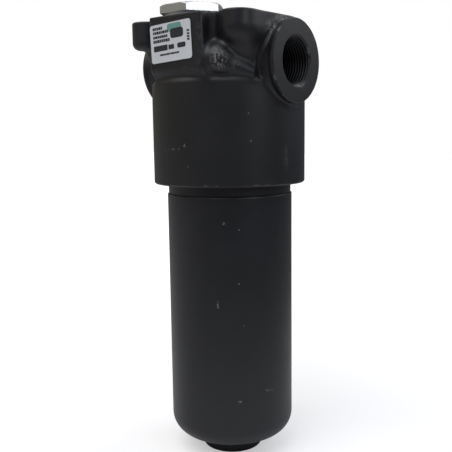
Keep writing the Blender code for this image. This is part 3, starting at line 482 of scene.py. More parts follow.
def grown(name, start, tree, values):
    """A plain mesh object from a tree, with its named inputs set."""
    seed = new_object(name + "_seed", start)
    modifier = seed.modifiers.new("grow", "NODES")
    modifier.node_group = tree
    sockets = {item.name: item.identifier for item in tree.interface.items_tree if item.in_out == "INPUT"}
    for key, value in values.items():
        modifier[sockets[key]] = value
    bpy.context.view_layer.update()
    mesh = evaluated_mesh(seed)
    mesh.name = name
    bpy.data.objects.remove(seed, do_unlink=True)
    return new_object(name, mesh)


def revolved(name, profile, steps, material, sharp=28):
    """A solid of revolution from (radius, height) points in millimetres, listed anticlockwise."""
    mesh = bpy.data.meshes.new(name)
    points = [(r * MM, 0, z * MM) for r, z in profile + profile[:1]]
    mesh.from_pydata(points, [(i, i + 1) for i in range(len(points) - 1)], [])
    item = grown(name, mesh, revolve, {"Steps": steps, "Profile Points": len(points), "Material": material})
    item.data.shade_smooth()
    item.data.set_sharp_from_angle(angle=math.radians(sharp))
    return item


def arc(centre_r, centre_z, radius, start, end, steps):
    """Points on an arc, with its angles in degrees from the outward direction."""
    angles = [math.radians(start + (end - start) * i / steps) for i in range(steps + 1)]
    return [(centre_r + radius * math.cos(a), centre_z + radius * math.sin(a)) for a in angles]


def shift(x, y, z):
    """A move in millimetres."""
    return Matrix.Translation(at_mm(x, y, z))


def moved(item, matrix):
    item.data.transform(matrix)
    return item


def cut_away(target, tools):
    """Takes every tool's solid out of the target, and removes the tools."""
    for tool in tools:
        modifier = target.modifiers.new("cut", "BOOLEAN")
        modifier.operation = "DIFFERENCE"
        modifier.solver = "MANIFOLD"
        modifier.object = tool
    result = evaluated_mesh(target)
    target.modifiers.clear()
    target.data = result
    for tool in tools:
        bpy.data.objects.remove(tool, do_unlink=True)


def node_vector(tree, operation, a, b):
    node = new_node(tree, "ShaderNodeVectorMath", {0: a, 1: b}, operation=operation)
    return node.outputs["Value" if operation == "LENGTH" else "Vector"]


def node_length(tree, vector):
    return node_vector(tree, "LENGTH", vector, (0, 0, 0))


def node_split(tree, vector):
    """The outputs X, Y and Z of a split vector."""
    return new_node(tree, "ShaderNodeSeparateXYZ", {0: vector}).outputs


def node_noise(tree, coordinates, scale, detail=3.0, rough=0.5):
    inputs = {"Vector": coordinates, "Scale": scale, "Detail": detail, "Roughness": rough}
    return new_node(tree, "ShaderNodeTexNoise", inputs).outputs["Fac"]


def node_range(tree, value, low, high, to_low=0.0, to_high=1.0, smooth=False):
    inputs = {"Value": value, "From Min": low, "From Max": high, "To Min": to_low, "To Max": to_high}
    kind = "SMOOTHSTEP" if smooth else "LINEAR"
    return new_node(tree, "ShaderNodeMapRange", inputs, interpolation_type=kind).outputs["Result"]


def node_mix(tree, share, a, b):
    a, b = ((*value, 1) if isinstance(value, tuple) else value for value in (a, b))
    inputs = {"Factor": share, "A": a, "B": b}
    return new_node(tree, "ShaderNodeMix", inputs, data_type="RGBA").outputs["Result"]


def new_group(name, inputs, outputs):
    """A shader group with named sockets: its tree, and the outputs of its input node."""
    tree = bpy.data.node_groups.new(name, "ShaderNodeTree")
    kinds = {"Vector": "NodeSocketVector", "Centre": "NodeSocketVector", "Radii": "NodeSocketVector"}
    for key, value in inputs.items():
        socket = tree.interface.new_socket(key, in_out="INPUT", socket_type=kinds.get(key, "NodeSocketFloat"))
        if value is not None:
            socket.default_value = value
    for key in outputs:
        tree.interface.new_socket(key, in_out="OUTPUT", socket_type="NodeSocketFloat")
    return tree, tree.nodes.new("NodeGroupInput").outputs


def end_group(tree, **values):
    new_node(tree, "NodeGroupOutput", values)
    return tree


def use_group(tree, group, **values):
    """The outputs of a group's node, with its inputs linked or set."""
    return new_node(tree, "ShaderNodeGroup", values, node_tree=group).outputs


def surface_grain_group():
    """Fine skin of a casting or a coat: a height for the bump and a slow change of tone."""
    tree, given = new_group("surface_grain", {"Vector": None, "Scale": 1.0}, ("Height", "Tone"))
    fine = node_noise(tree, given["Vector"], times(tree, given["Scale"], 1500.0), 3.0, 0.6)
    broad = node_noise(tree, given["Vector"], times(tree, given["Scale"], 330.0), 2.0)
    cloud = node_noise(tree, given["Vector"], 42.0, 4.0, 0.55)
    height = plus(tree, times(tree, fine, 0.55), times(tree, broad, 0.45))
    tone = plus(tree, times(tree, cloud, 0.65), times(tree, fine, 0.35))
    return end_group(tree, Height=height, Tone=node_range(tree, tone, 0.33, 0.67))


def worn_edges_group():
    """Broken line of rubbed metal along the edges that the attribute wear marks."""
    tree, given = new_group("worn_edges", {"Vector": None, "Wear": 0.0, "Amount": 0.5}, ("Mask",))
    coarse = node_noise(tree, given["Vector"], 130.0, 5.0, 0.65)
    fine = node_noise(tree, given["Vector"], 1100.0, 2.0)
    broken = plus(tree, times(tree, coarse, 0.75), times(tree, fine, 0.25))
    limit = minus(tree, 0.72, times(tree, given["Amount"], 0.36))
    above = minus(tree, broken, limit)
    mask = times(tree, node_range(tree, above, -0.02, 0.07), given["Wear"])
    return end_group(tree, Mask=mask)


def scuff_and_painted_light_patch_group():
    """Cloud of rubbed scratches inside an ellipsoid, with the scratches stretched along X and Z; some patches
    use it as painted light on the head.
    """
    inputs = {"Vector": None, "Centre": None, "Radii": None, "Strength": 1.0, "Scale": 900.0}
    tree, given = new_group("scuff_and_painted_light_patch", inputs, ("Mask",))
    away = node_vector(tree, "SUBTRACT", given["Vector"], given["Centre"])
    share = node_vector(tree, "DIVIDE", away, given["Radii"])
    near = node_range(tree, node_length(tree, share), 1.0, 0.25, smooth=True)
    lengthwise = node_vector(tree, "MULTIPLY", given["Vector"], (0.25, 1.0, 1.0))
    upright = node_vector(tree, "MULTIPLY", given["Vector"], (1.0, 1.0, 0.22))
    first = node_noise(tree, lengthwise, given["Scale"], 2.0, 0.6)
    second = node_noise(tree, upright, given["Scale"], 2.0, 0.6)
    rubbed = node_range(tree, highest(tree, first, second), 0.53, 0.62)
    mask = times(tree, times(tree, near, rubbed), given["Strength"])
    return end_group(tree, Mask=mask)


def specks_group():
    """Small pale dots of dust, a few to the square centimetre, with their size varied by the cell."""
    tree, given = new_group("specks", {"Vector": None, "Scale": 260.0, "Share": 0.1}, ("Mask",))
    cells = new_node(tree, "ShaderNodeTexVoronoi", {"Vector": given["Vector"], "Scale": given["Scale"]})
    split = new_node(tree, "ShaderNodeSeparateColor", {0: cells.outputs["Color"]})
    size = times(tree, split.outputs[1], 0.09)
    dot = node_math(tree, "LESS_THAN", cells.outputs["Distance"], size)
    chosen = node_math(tree, "LESS_THAN", split.outputs[0], given["Share"])
    return end_group(tree, Mask=times(tree, dot, chosen))


def hairlines_group():
    """Thin scratches that run mostly across the axis, thinned out by a slow cloud."""
    tree, given = new_group("hairlines", {"Vector": None, "Amount": 0.5}, ("Mask",))
    bent = new_node(tree, "ShaderNodeVectorRotate", {
        "Vector": given["Vector"], "Rotation": (0.35, 0.25, 0.6)}, rotation_type="EULER_XYZ")
    stretched = node_vector(tree, "MULTIPLY", bent.outputs[0], (0.08, 0.08, 1.0))
    lines = node_noise(tree, stretched, 1400.0, 1.0, 0.4)
    ridge = node_math(tree, "ABSOLUTE", minus(tree, lines, 0.5))
    thin = node_range(tree, ridge, 0.0, 0.012, 1.0, 0.0)
    cloud = node_range(tree, node_noise(tree, given["Vector"], 60.0, 3.0), 0.55, 0.70)
    mask = times(tree, times(tree, thin, cloud), given["Amount"])
    return end_group(tree, Mask=mask)


def turning_marks_group():
    """Grooves that a lathe leaves, along whatever distance is given."""
    tree, given = new_group("turning_marks", {"Along": 0.0, "Pitch": 0.0003}, ("Height", "Tone"))
    turns = node_math(tree, "DIVIDE", given["Along"], given["Pitch"])
    wave = node_math(tree, "SINE", times(tree, turns, 2 * math.pi))
    inputs = {"W": turns, "Scale": 0.23, "Detail": 4.0}
    band = new_node(tree, "ShaderNodeTexNoise", inputs, noise_dimensions="1D")
    swell = times(tree, band.outputs["Fac"], 2.0)
    tone = node_range(tree, band.outputs["Fac"], 0.35, 0.65)
    return end_group(tree, Height=times(tree, wave, swell), Tone=tone)


def chip_group():
    """One small ragged mark around a point."""
    tree, given = new_group("chip", {"Vector": None, "Centre": None, "Radius": 0.0005}, ("Mask",))
    way = node_vector(tree, "SUBTRACT", given["Vector"], given["Centre"])
    ragged = node_range(tree, node_noise(tree, given["Vector"], 2600.0, 2.0), 0.3, 0.7, 0.45, 1.2)
    reach = times(tree, given["Radius"], ragged)
    return end_group(tree, Mask=node_math(tree, "LESS_THAN", node_length(tree, way), reach))


surface_grain = surface_grain_group()
worn_edges = worn_edges_group()
scuff_and_painted_light_patch = scuff_and_painted_light_patch_group()
specks = specks_group()
hairlines = hairlines_group()
turning_marks = turning_marks_group()
chip = chip_group()


def new_material(name):
    """An empty finish, its tree, its shader and the object's own coordinates."""
    material = bpy.data.materials.new(name)
    material.use_nodes = True
    tree = material.node_tree
    return material, tree, tree.nodes["Principled BSDF"], tree.nodes.new("ShaderNodeTexCoord").outputs["Object"]


def add_bump(tree, shader, height, strength, distance):
    inputs = {"Strength": strength, "Distance": distance * MM, "Height": height}
    bump = new_node(tree, "ShaderNodeBump", inputs)
    tree.links.new(bump.outputs["Normal"], shader.inputs["Normal"])


def black_material(name, base, pale, roughness, grain_scale, scuffs_and_painted_light, chips, wear_amount, port_faces=False):
    """Blackened iron or steel: satin black, grey where it is rubbed and where patches paint highlights, pale in
    scratches and specks.

    With port_faces the lathe's marks run round the ports and lie on their faces, and otherwise along Z.
    """
    material, tree, shader, where = new_material(name)
    grain = use_group(tree, surface_grain, Vector=where, Scale=grain_scale)
    split = node_split(tree, where)
    attribute = new_node(tree, "ShaderNodeAttribute", {}, attribute_name="wear")
    rub_and_painted_light = use_group(tree, worn_edges, Vector=where, Wear=attribute.outputs["Fac"], Amount=wear_amount)["Mask"]
    # Patches of rubbed scratches, some of them painted highlights and bands of light
    for centre, radii, strength, scale in scuffs_and_painted_light:
        patch = use_group(tree, scuff_and_painted_light_patch, Vector=where, Centre=centre, Radii=radii,
                          Strength=strength, Scale=scale)
        rub_and_painted_light = highest(tree, rub_and_painted_light, patch["Mask"])
    scratched = use_group(tree, hairlines, Vector=where, Amount=0.30)["Mask"]
    spot = use_group(tree, specks, Vector=where, Scale=230.0, Share=0.035)["Mask"]
    for centre, radius in chips:
        mark = use_group(tree, chip, Vector=where, Centre=centre, Radius=radius * MM)
        spot = highest(tree, spot, mark["Mask"])
    along = split["Z"]
    if port_faces:
        port_way = minus(tree, split["Z"], PORT_Z * MM)
        square = plus(tree, times(tree, split["Y"], split["Y"]), times(tree, port_way, port_way))
        along = node_math(tree, "SQRT", square)
        reach = node_math(tree, "ABSOLUTE", split["X"])
        machined = node_math(tree, "GREATER_THAN", reach, (PORT_FACE_X - 0.05) * MM)
    marks = use_group(tree, turning_marks, Along=along, Pitch=0.00042)
    tone = node_mix(tree, grain["Tone"], base, pale)
    if port_faces:
        tone = node_mix(tree, machined, tone, TURNED_BLACK)
    else:
        tone = node_mix(tree, times(tree, marks["Tone"], 0.35), tone, pale)
    tone = node_mix(tree, scratched, tone, SCRATCH_GREY)
    # Rubbed grey, also laid as painted light on some of the head's patches
    tone = node_mix(tree, rub_and_painted_light, tone, RUBBED_AND_PAINTED_LIGHT_GREY)
    tone = node_mix(tree, spot, tone, CHIP_GREY)
    matt = node_range(tree, grain["Tone"], 0.0, 1.0, roughness - 0.04, roughness + 0.05)
    matt = plus(tree, matt, times(tree, highest(tree, scratched, rub_and_painted_light), 0.12))
    set_inputs(tree, shader, {"Base Color": tone, "Roughness": highest(tree, matt, times(tree, spot, 0.7))})
    share = times(tree, machined, 0.35) if port_faces else 0.05
    height = plus(tree, grain["Height"], times(tree, marks["Height"], share))
    height = minus(tree, height, times(tree, scratched, 0.25))
    add_bump(tree, shader, height, 0.30, 0.035)
    return material


def metal_material(name, colour, roughness, mark_pitch=0.0, stain=0.12):
    """Bare or plated metal, with its tone, its stains and, if it is turned, the tool's marks."""
    material, tree, shader, where = new_material(name)
    grain = use_group(tree, surface_grain, Vector=where, Scale=0.6)
    scratched = use_group(tree, hairlines, Vector=where, Amount=0.6)["Mask"]
    low = tuple(c * (1 - stain) for c in colour)
    tone = node_mix(tree, grain["Tone"], low, colour)
    tone = node_mix(tree, scratched, tone, tuple(c * 0.6 for c in colour))
    matt = node_range(tree, grain["Tone"], 0, 1, roughness * 1.2, roughness * 0.85)
    set_inputs(tree, shader, {"Base Color": tone, "Roughness": matt, "Metallic": 1.0})
    height = grain["Height"]
    if mark_pitch:
        marks = use_group(tree, turning_marks, Along=node_split(tree, where)["Z"], Pitch=mark_pitch)
        height = plus(tree, height, times(tree, marks["Height"], 0.5))
    add_bump(tree, shader, height, 0.18, 0.02)
    return material


def soft_material(name, colour, roughness, change=0.15, grain_scale=1.0, bump=0.2):
    """Rubber, plastic, film or fleece, with a slow change of tone and a fine grain."""
    material, tree, shader, where = new_material(name)
    grain = use_group(tree, surface_grain, Vector=where, Scale=grain_scale)
    spot = use_group(tree, specks, Vector=where, Scale=320.0, Share=0.03)["Mask"]
    low = tuple(c * (1 - change) for c in colour)
    tone = node_mix(tree, grain["Tone"], low, colour)
    tone = node_mix(tree, times(tree, spot, 0.4), tone, tuple(c * 0.5 + 0.05 for c in colour))
    matt = node_range(tree, grain["Tone"], 0, 1, roughness * 1.08, roughness * 0.92)
    set_inputs(tree, shader, {"Base Color": tone, "Roughness": matt})
    add_bump(tree, shader, grain["Height"], bump, 0.03)
    return material


def chips_on(radius, marks):
    """Chips on an upright cylinder, from their places in the picture and their sizes."""
    return [(seen_on_cylinder((column, row), radius), size) for column, row, size in marks]


# Rubbed patches, two of them also painted light, each as its centre, its radii, its strength and the scale of
# its scratches
HEAD_SCUFFS_AND_PAINTED_LIGHT = [
    (at_mm(28.3, -42.5, 236.0), at_mm(6.5, 6.0, 8.5), 1.0, 900.0),
    (at_mm(34.0, -35.0, 233.5), at_mm(5.0, 5.0, 4.0), 0.25, 700.0),
    (at_mm(43.5, -5.5, 259.5), at_mm(4.5, 9.0, 4.5), 1.0, 700.0),
    (at_mm(43.5, -16.0, 253.5), at_mm(4.5, 8.0, 6.0), 0.9, 700.0),
    # Partly wear and partly a painted highlight: the lip under the port, where the fillet to the skirt catches
    # light
    (at_mm(45.5, 3.0, 212.2), at_mm(3.5, 9.0, 1.8), 0.45, 900.0),
    (at_mm(49.0, 4.0, 223.3), at_mm(1.0, 8.0, 2.6), 0.90, 500.0),
    # Painted light: a pale band on the block's underside, standing in for light thrown up from below
    (at_mm(-17.0, -45.0, 232.0), at_mm(7.0, 4.0, 2.5), 0.25, 800.0),
    (seen_on_cylinder(SKIRT_SCRATCH_PX, SKIRT_R), at_mm(8.0, 4.0, 0.9), 0.90, 700.0),
    (seen_on_cylinder(SKIRT_SCRATCH_END_PX, SKIRT_R), at_mm(2.0, 2.0, 1.8), 0.90, 900.0),
    (seen_on_cylinder(SKIRT_RUB_PX, SKIRT_R), at_mm(3.0, 3.0, 9.0), 0.30, 900.0),
]
BOWL_SCUFFS = [
    (at_mm(0, 0, 11.0), at_mm(48.0, 48.0, 8.0), 0.16, 600.0),
    (at_mm(0, 0, 160.8), at_mm(48.0, 48.0, 1.0), 0.20, 900.0),
    (seen_on_cylinder(BOWL_NICK_PX, BOWL_R), at_mm(0.9, 0.9, 3.0), 1.0, 700.0),
    (seen_on_cylinder(BOWL_HIGH_MARK_PX, BOWL_R), at_mm(2.0, 2.0, 1.2), 1.0, 900.0),
    (seen_on_cylinder(BOWL_LOW_MARK_PX, BOWL_R), at_mm(1.8, 1.8, 1.0), 1.0, 900.0),
    (seen_on_cylinder(BOWL_LOW_SCRATCH_PX, BOWL_R), at_mm(3.0, 3.0, 0.8), 0.9, 900.0),
]

cast_black = black_material("cast_black", (0.0054, 0.0055, 0.0066), (0.0084, 0.0084, 0.0094), 0.44, 1.0,
                            HEAD_SCUFFS_AND_PAINTED_LIGHT, chips_on(SKIRT_R, SKIRT_CHIPS_PX), 0.42, port_faces=True)
bowl_black = black_material("bowl_black", (0.0057, 0.0060, 0.0078), (0.0088, 0.0091, 0.0112), 0.38, 1.3,
                            BOWL_SCUFFS, chips_on(BOWL_R, BOWL_CHIPS_PX), 0.30)
zinc = metal_material("zinc", (0.76, 0.78, 0.77), 0.30, 0.0, 0.06)
steel = metal_material("turned_steel", (0.56, 0.56, 0.55), 0.30, 0.00035)
wire = metal_material("drawn_wire", (0.42, 0.42, 0.43), 0.34)
tin = metal_material("tin_plate", (0.62, 0.62, 0.60), 0.24)
label_film = soft_material("label_film", (0.66, 0.68, 0.70), 0.42, 0.09, 1.2, 0.08)
print_dark = soft_material("print_dark", (0.022, 0.022, 0.026), 0.5, 0.3)
print_teal = soft_material("print_teal", (0.16, 0.34, 0.30), 0.42, 0.12)
rubber = soft_material("rubber", (0.016, 0.016, 0.016), 0.55)
plastic = soft_material("backup_plastic", (0.70, 0.68, 0.58), 0.45)
fleece = soft_material("fleece", (0.80, 0.78, 0.68), 0.85, 0.15, 0.8, 0.6)
resin = soft_material("resin", (0.62, 0.52, 0.30), 0.30)

FINISH = (
    (rubber, ("bowl_o_ring", "plug_o_ring", "bypass_seat_o_ring", "element_o_ring")),
    (steel, ("bypass_seat", "bypass_poppet", "spring_plate")),
    (wire, ("bypass_spring", "seat_snap_ring")),
    (tin, ("element_top_cap", "element_bottom_cap", "element_core_tube")),
    (resin, ("top_resin_bed", "bottom_resin_bed")),
    (plastic, ("bowl_backup_ring",)),
    (fleece, ("element_medium",)),
)
for finish, node_names in FINISH:
    for node_name in node_names:
        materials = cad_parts[node_name].data.materials
        materials.clear()
        materials.append(finish)

revolve = revolve_tree()
screw_ridge = thread_tree()


def bowl_profile():
    """Outline of the bowl's wall: foot, rounded end, side, undercut neck, thread, seal groove, lip, inside."""
    corner_r, foot_r, foot_h = 12.5, 18.3, 9.6
    outside = [(0, 0), (foot_r - 1.0, 0)] + arc(foot_r - 0.7, 0.7, 0.7, -60, 0, 3)
    outside += [(foot_r, foot_h - 0.5)] + arc(foot_r + 0.5, foot_h - 0.5, 0.5, 180, 90, 3)
    outside += arc(BOWL_R - corner_r, foot_h + corner_r, corner_r, -90, 0, 28)
    walls = [(BOWL_R, z) for z in range(24, 159, 6)]
    edge = [(BOWL_R, BOWL_BODY_H - 1.0), (BOWL_R, BOWL_BODY_H - 0.6), (37.8, BOWL_BODY_H - 0.2),
            (37.4, BOWL_BODY_H), (36.9, 161.4)]
    neck = [(36.9, 162.05), (NECK_R, 162.2), (NECK_R, 169.0)]
    thread = [(BOWL_THREAD_R, 170.2), (BOWL_THREAD_R, 185.6), (LAND_R, 187.6)]
    groove = [(LAND_R, 191.0), (32.3, 191.0), (32.3, 196.4), (LAND_R, 196.4)]
    lip = [(LAND_R, 202.0), (34.0, 203.0), (30.4, 203.0), (30.0, 202.6)]
    inside = arc(22.0, 28.0, 8.0, 0, -90, 8) + [(8.6, 20.0), (8.6, 18.0), (0, 18.0)]
    return outside + walls + edge + neck + thread + groove + lip + inside


bowl = revolved("bowl_shell", bowl_profile(), 256, bowl_black)
mark_wear(bowl, None, math.radians(25), 3.0)
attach(bowl, "bowl")
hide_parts("bowl")

empty_mesh = bpy.data.meshes.new("nothing")
bowl_thread = grown("bowl_thread", empty_mesh, screw_ridge, {
    "Radius": BOWL_THREAD_R * MM, "Pitch": BOWL_THREAD_PITCH * MM, "Turns": 7.0, "Ridge": 0.8 * MM,
    "Material": bowl_black})
moved(bowl_thread, shift(0, 0, BOWL_THREAD_Z))
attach(bowl_thread, "bowl")

low_rows = np.array([RIM_Z - 3.0, RIM_Z - 2.0, RIM_Z - 1.0, 172.0, 180.0, 190.0, 200.0, 206.0])
HEAD_CELL = 0.64
head_axes = (np.arange(-51.8, 51.9, HEAD_CELL), np.arange(-48.2, 48.3, HEAD_CELL), np.concatenate([
    low_rows, np.arange(208.0, TOP_Z - 1.5, HEAD_CELL), TOP_Z + np.arange(-1.35, 1.1, 0.3)]))
head = field_object("head_casting", head_field, head_axes, cast_black)


def skirt_cutter():
    """Cuts the lower end off at the rim, with a small chamfer round it."""
    profile = [(30.0, RIM_Z - 6), (60.0, RIM_Z - 6), (60.0, RIM_Z + 15.0), (SKIRT_R, RIM_Z + 0.8),
               (SKIRT_R - 0.8, RIM_Z), (30.0, RIM_Z)]
    return revolved("skirt_cutter", profile, 192, cast_black)


def socket_cutter():
    """Cuts the skirt's inside, with its thread's room, its seal land and the ceiling round the spigot."""
    profile = [
        (0, RIM_Z - 2), (39.2, RIM_Z - 2), (39.2, RIM_Z), (38.2, RIM_Z + 0.7), (37.6, RIM_Z + 0.9),
        (37.6, 169.5), (36.9, 170.2), (36.9, 186.4), (LAND_R + 0.3, 188.0), (LAND_R + 0.3, 207.0),
        (32.3, CEILING_Z), (12.0, CEILING_Z), (12.0, SPIGOT_END_Z), (0, SPIGOT_END_Z)]
    return revolved("socket_cutter", profile, 128, cast_black)


def port_cutter(side):
    """Faces the port, takes its edges off and bores it, with a wide chamfer at its mouth."""
    face = PORT_FACE_X
    profile = [(0, 19.0), (PORT_BORE_R, 19.0), (PORT_BORE_R, 28.0), (PORT_THREAD_R, 29.5),
               (PORT_THREAD_R, face - 1.2), (PORT_THREAD_R + 1.2, face), (PORT_R - 0.5, face),
               (PORT_R + 0.1, face - 0.6), (36.0, face - 0.6), (36.0, face + 5), (0, face + 5)]
    item = revolved("port_cutter", profile, 128, cast_black)
    turn = Matrix.Rotation(side * math.pi / 2, 4, "Y")
    return moved(item, shift(0, 0, PORT_Z) @ turn)


def bore_cutter(name, centre, profile, steps=64):
    """A cutter turned about an upright line at a place in the plan."""
    item = revolved(name, profile, steps, cast_black)
    return moved(item, shift(*centre, 0))


above = TOP_Z + 1
hole = [(0, TOP_Z - 14.9), (HOLE_R, TOP_Z - 13.0), (HOLE_R, TOP_Z - 0.6), (HOLE_R + 0.7, TOP_Z + 0.1),
        (HOLE_R + 0.7, above), (0, above)]
chamber = [(0, 212.4), (10.0, 212.4), (10.0, 219.7), (10.9, 219.7), (10.9, 221.3), (10.0, 221.3), (10.0, 241.7),
           (CHAMBER_R, 241.7), (CHAMBER_R, 259.3), (14.2, 259.3), (14.2, above), (0, above)]
drop = [(0, 205.0), (DROP_R, 205.0), (DROP_R, PORT_Z), (0, PORT_Z)]
spigot = [(0, SPIGOT_END_Z - 3), (SPIGOT_BORE_R, SPIGOT_END_Z - 3), (SPIGOT_BORE_R, PORT_Z), (0, PORT_Z)]
cutters = [skirt_cutter(), socket_cutter(), port_cutter(1), port_cutter(-1),
           bore_cutter("chamber_cutter", CHAMBER, chamber, 96),
           bore_cutter("drop_cutter", (DROP_X, 0.0), drop), bore_cutter("spigot_cutter", (0, 0), spigot)]
cutters += [bore_cutter("hole_cutter", (side * BOSS[0], -BOSS[1]), hole, 48) for side in (-1, 1)]
cut_away(head, cutters)
head.data.materials.clear()
head.data.materials.append(cast_black)
mark_wear(head, head_field)
head.data.shade_smooth()
head.data.set_sharp_from_angle(angle=math.radians(35))
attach(head, "head")
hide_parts("head")

for side, port_name in ((1, "outlet_thread"), (-1, "inlet_thread")):
    ridge = grown(port_name, empty_mesh, screw_ridge, {
        "Radius": (PORT_THREAD_R + 0.05) * MM, "Pitch": PORT_THREAD_PITCH * MM, "Turns": 9.0,
        "Ridge": 0.75 * MM, "Material": cast_black})
    turn = Matrix.Rotation(side * math.pi / 2, 4, "Y")
    moved(ridge, shift(0, 0, PORT_Z) @ turn @ shift(0, 0, PORT_THREAD_X))
    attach(ridge, "head")

PLUG_CELL = 0.3
plug_axes = (np.arange(-21.5, 17.6, PLUG_CELL), np.arange(-47.0, -11.0, PLUG_CELL), np.concatenate([
    np.arange(TOP_Z - 19.0, TOP_Z - 1.0, 1.0), np.arange(TOP_Z - 0.9, TOP_Z + 7.2, PLUG_CELL)]))
plug = field_object("plug_body", plug_field, plug_axes, zinc)
plug.data.set_sharp_from_angle(angle=math.radians(35))
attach(plug, "head")
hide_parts("hex_plug")


def coil_mesh(name, mean_r, wire_r, turns, low, high, material, steps=40, sides=14):
    """Compression spring about Z in millimetres, closed at both ends, with its wire's ends capped."""
    verts = []
    wire_d = 2 * wire_r
    rise = high - low - 2 * wire_d
    for i in range(turns * steps + 1):
        turn = i / steps
        z = low + np.interp(turn, (0, 1, turns - 1, turns), (0, wire_d, rise + wire_d, rise + 2 * wire_d))
        angle = 2 * math.pi * turn
        for k in range(sides):
            side = 2 * math.pi * k / sides
            r = mean_r + 0.97 * wire_r * math.cos(side)
            level = z + 0.97 * wire_r * math.sin(side)
            verts.append(at_mm(r * math.cos(angle), r * math.sin(angle), level))
    last = turns * steps * sides
    faces = [(i + k, i + sides + k, i + sides + (k + 1) % sides, i + (k + 1) % sides)
             for i in range(0, last, sides) for k in range(sides)]
    faces += [tuple(range(sides)), tuple(last + k for k in reversed(range(sides)))]
    return mesh_object(name, verts, faces, material)


cad_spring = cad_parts["bypass_spring"]
spring_heights = [(cad_spring.matrix_world @ vert.co).z / MM for vert in cad_spring.data.vertices]
SPRING_LOW, SPRING_HIGH = min(spring_heights), max(spring_heights)
spring = coil_mesh("bypass_coil", COIL_MEAN_R, COIL_WIRE_R, COIL_TURNS, SPRING_LOW + COIL_WIRE_R,
                   SPRING_HIGH - COIL_WIRE_R, wire)
moved(spring, shift(*CHAMBER, 0))
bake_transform(spring)
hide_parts("bypass_spring")


def rounded_rectangle(width, height, radius, centre=(0, 0), steps=6):
    points = []
    for sx, sy, start in ((1, 1, 0), (-1, 1, 90), (-1, -1, 180), (1, -1, 270)):
        points += arc(centre[0] + sx * (width / 2 - radius), centre[1] + sy * (height / 2 - radius),
                      radius, start, start + 90, steps)
    return points


def flat_shapes(name, outlines, low, high, material):
    """Thin plates on the block's front face, from outlines in the label's own plane."""
    verts = []
    faces = []
    for outline in outlines:
        base, count = len(verts), len(outline)
        verts += [(u * MM, -(BLOCK_FRONT_Y + d) * MM, v * MM) for d in (low, high) for u, v in outline]
        faces += [tuple(base + k for k in range(count))[::-1], tuple(base + count + k for k in range(count))]
        faces += [tuple(base + k for k in (i, (i + 1) % count, count + (i + 1) % count, count + i))
                  for i in range(count)]
    item = mesh_object(name, verts, faces, material, smooth=False)
    tilt = Matrix.Rotation(-LABEL_TILT, 4, "Y")
    return moved(item, shift(LABEL_CENTRE[0], 0, LABEL_CENTRE[1]) @ tilt)


PLATE_TOP = LABEL_SEAT + 0.13
PRINT_LOW = LABEL_SEAT + 0.12
PRINT_TOP = LABEL_SEAT + 0.145
label = flat_shapes("label_plate", [rounded_rectangle(*LABEL_SIZE, 1.6)], LABEL_SEAT, PLATE_TOP, label_film)
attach(label, "head")
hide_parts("label")


def label_bar(left, right, top, bottom, radius=0.15):
    """A bar from its edges on the label, as shares of the width and height from the top left."""
    width, height = (right - left) * LABEL_SIZE[0], (bottom - top) * LABEL_SIZE[1]
    centre = (((left + right) / 2 - 0.5) * LABEL_SIZE[0], (0.5 - (top + bottom) / 2) * LABEL_SIZE[1])
    return rounded_rectangle(width, height, min(radius, width * 0.4, height * 0.4), centre, 3)


def bar_row(left, right, top, bottom, widths):
    """A row of upright bars with small gaps, of the given relative widths."""
    total = sum(widths)
    edges = [left]
    for width in widths:
        edges.append(edges[-1] + (right - left) * width / total)
    gap = 0.006
    return [label_bar(low, high - gap, top, bottom, 0.1) for low, high in zip(edges, edges[1:])]


bar_rows = [
    ((0.07, 0.32, 0.07, 0.145), (3, 2, 2, 3, 2)), ((0.07, 0.46, 0.175, 0.25), (2, 2, 3, 2, 2, 3, 2, 2)),
    ((0.07, 0.44, 0.29, 0.36), (2, 3, 2, 2, 3, 2, 2)), ((0.07, 0.49, 0.395, 0.475), (2, 2, 3, 2, 2, 2, 3, 2)),
    ((0.22, 0.70, 0.775, 0.825), (4, 2, 4, 1, 3, 2, 3))]
dark_bars = [shape for span, widths in bar_rows for shape in bar_row(*span, widths)]
dark_bars += [label_bar(0.07, 0.42, 0.55, 0.70, 0.5), label_bar(0.44, 0.58, 0.57, 0.69),
              label_bar(0.66, 0.86, 0.56, 0.69, 0.9)]
dark_bars += [label_bar(0.905, 0.965, top, top + 0.05) for top in (0.27, 0.35, 0.42, 0.49)]
dark_field = [label_bar(0.50, 0.82, 0.17, 0.42, 1.6)]
teal_fields = [label_bar(0.43, 0.78, 0.035, 0.24, 1.8)]
for name, shapes, finish, low, high in (
        ("label_teal_field", teal_fields, print_teal, PRINT_LOW, PRINT_TOP - 0.008),
        ("label_dark_bars", dark_bars + dark_field, print_dark, PRINT_LOW, PRINT_TOP)):
    print_piece = flat_shapes(name, shapes, low, high, finish)
    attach(print_piece, "head")


def area_light(name, place, aim, size, power, colour=(1, 1, 1)):
    data = bpy.data.lights.new(name, "AREA")
    data.shape = "RECTANGLE"
    data.size, data.size_y = size
    data.energy = power
    data.color = colour
    item = new_object(name, data)
    item.location = place
    item.rotation_euler = (Vector(aim) - Vector(place)).to_track_quat("-Z", "Y").to_euler()


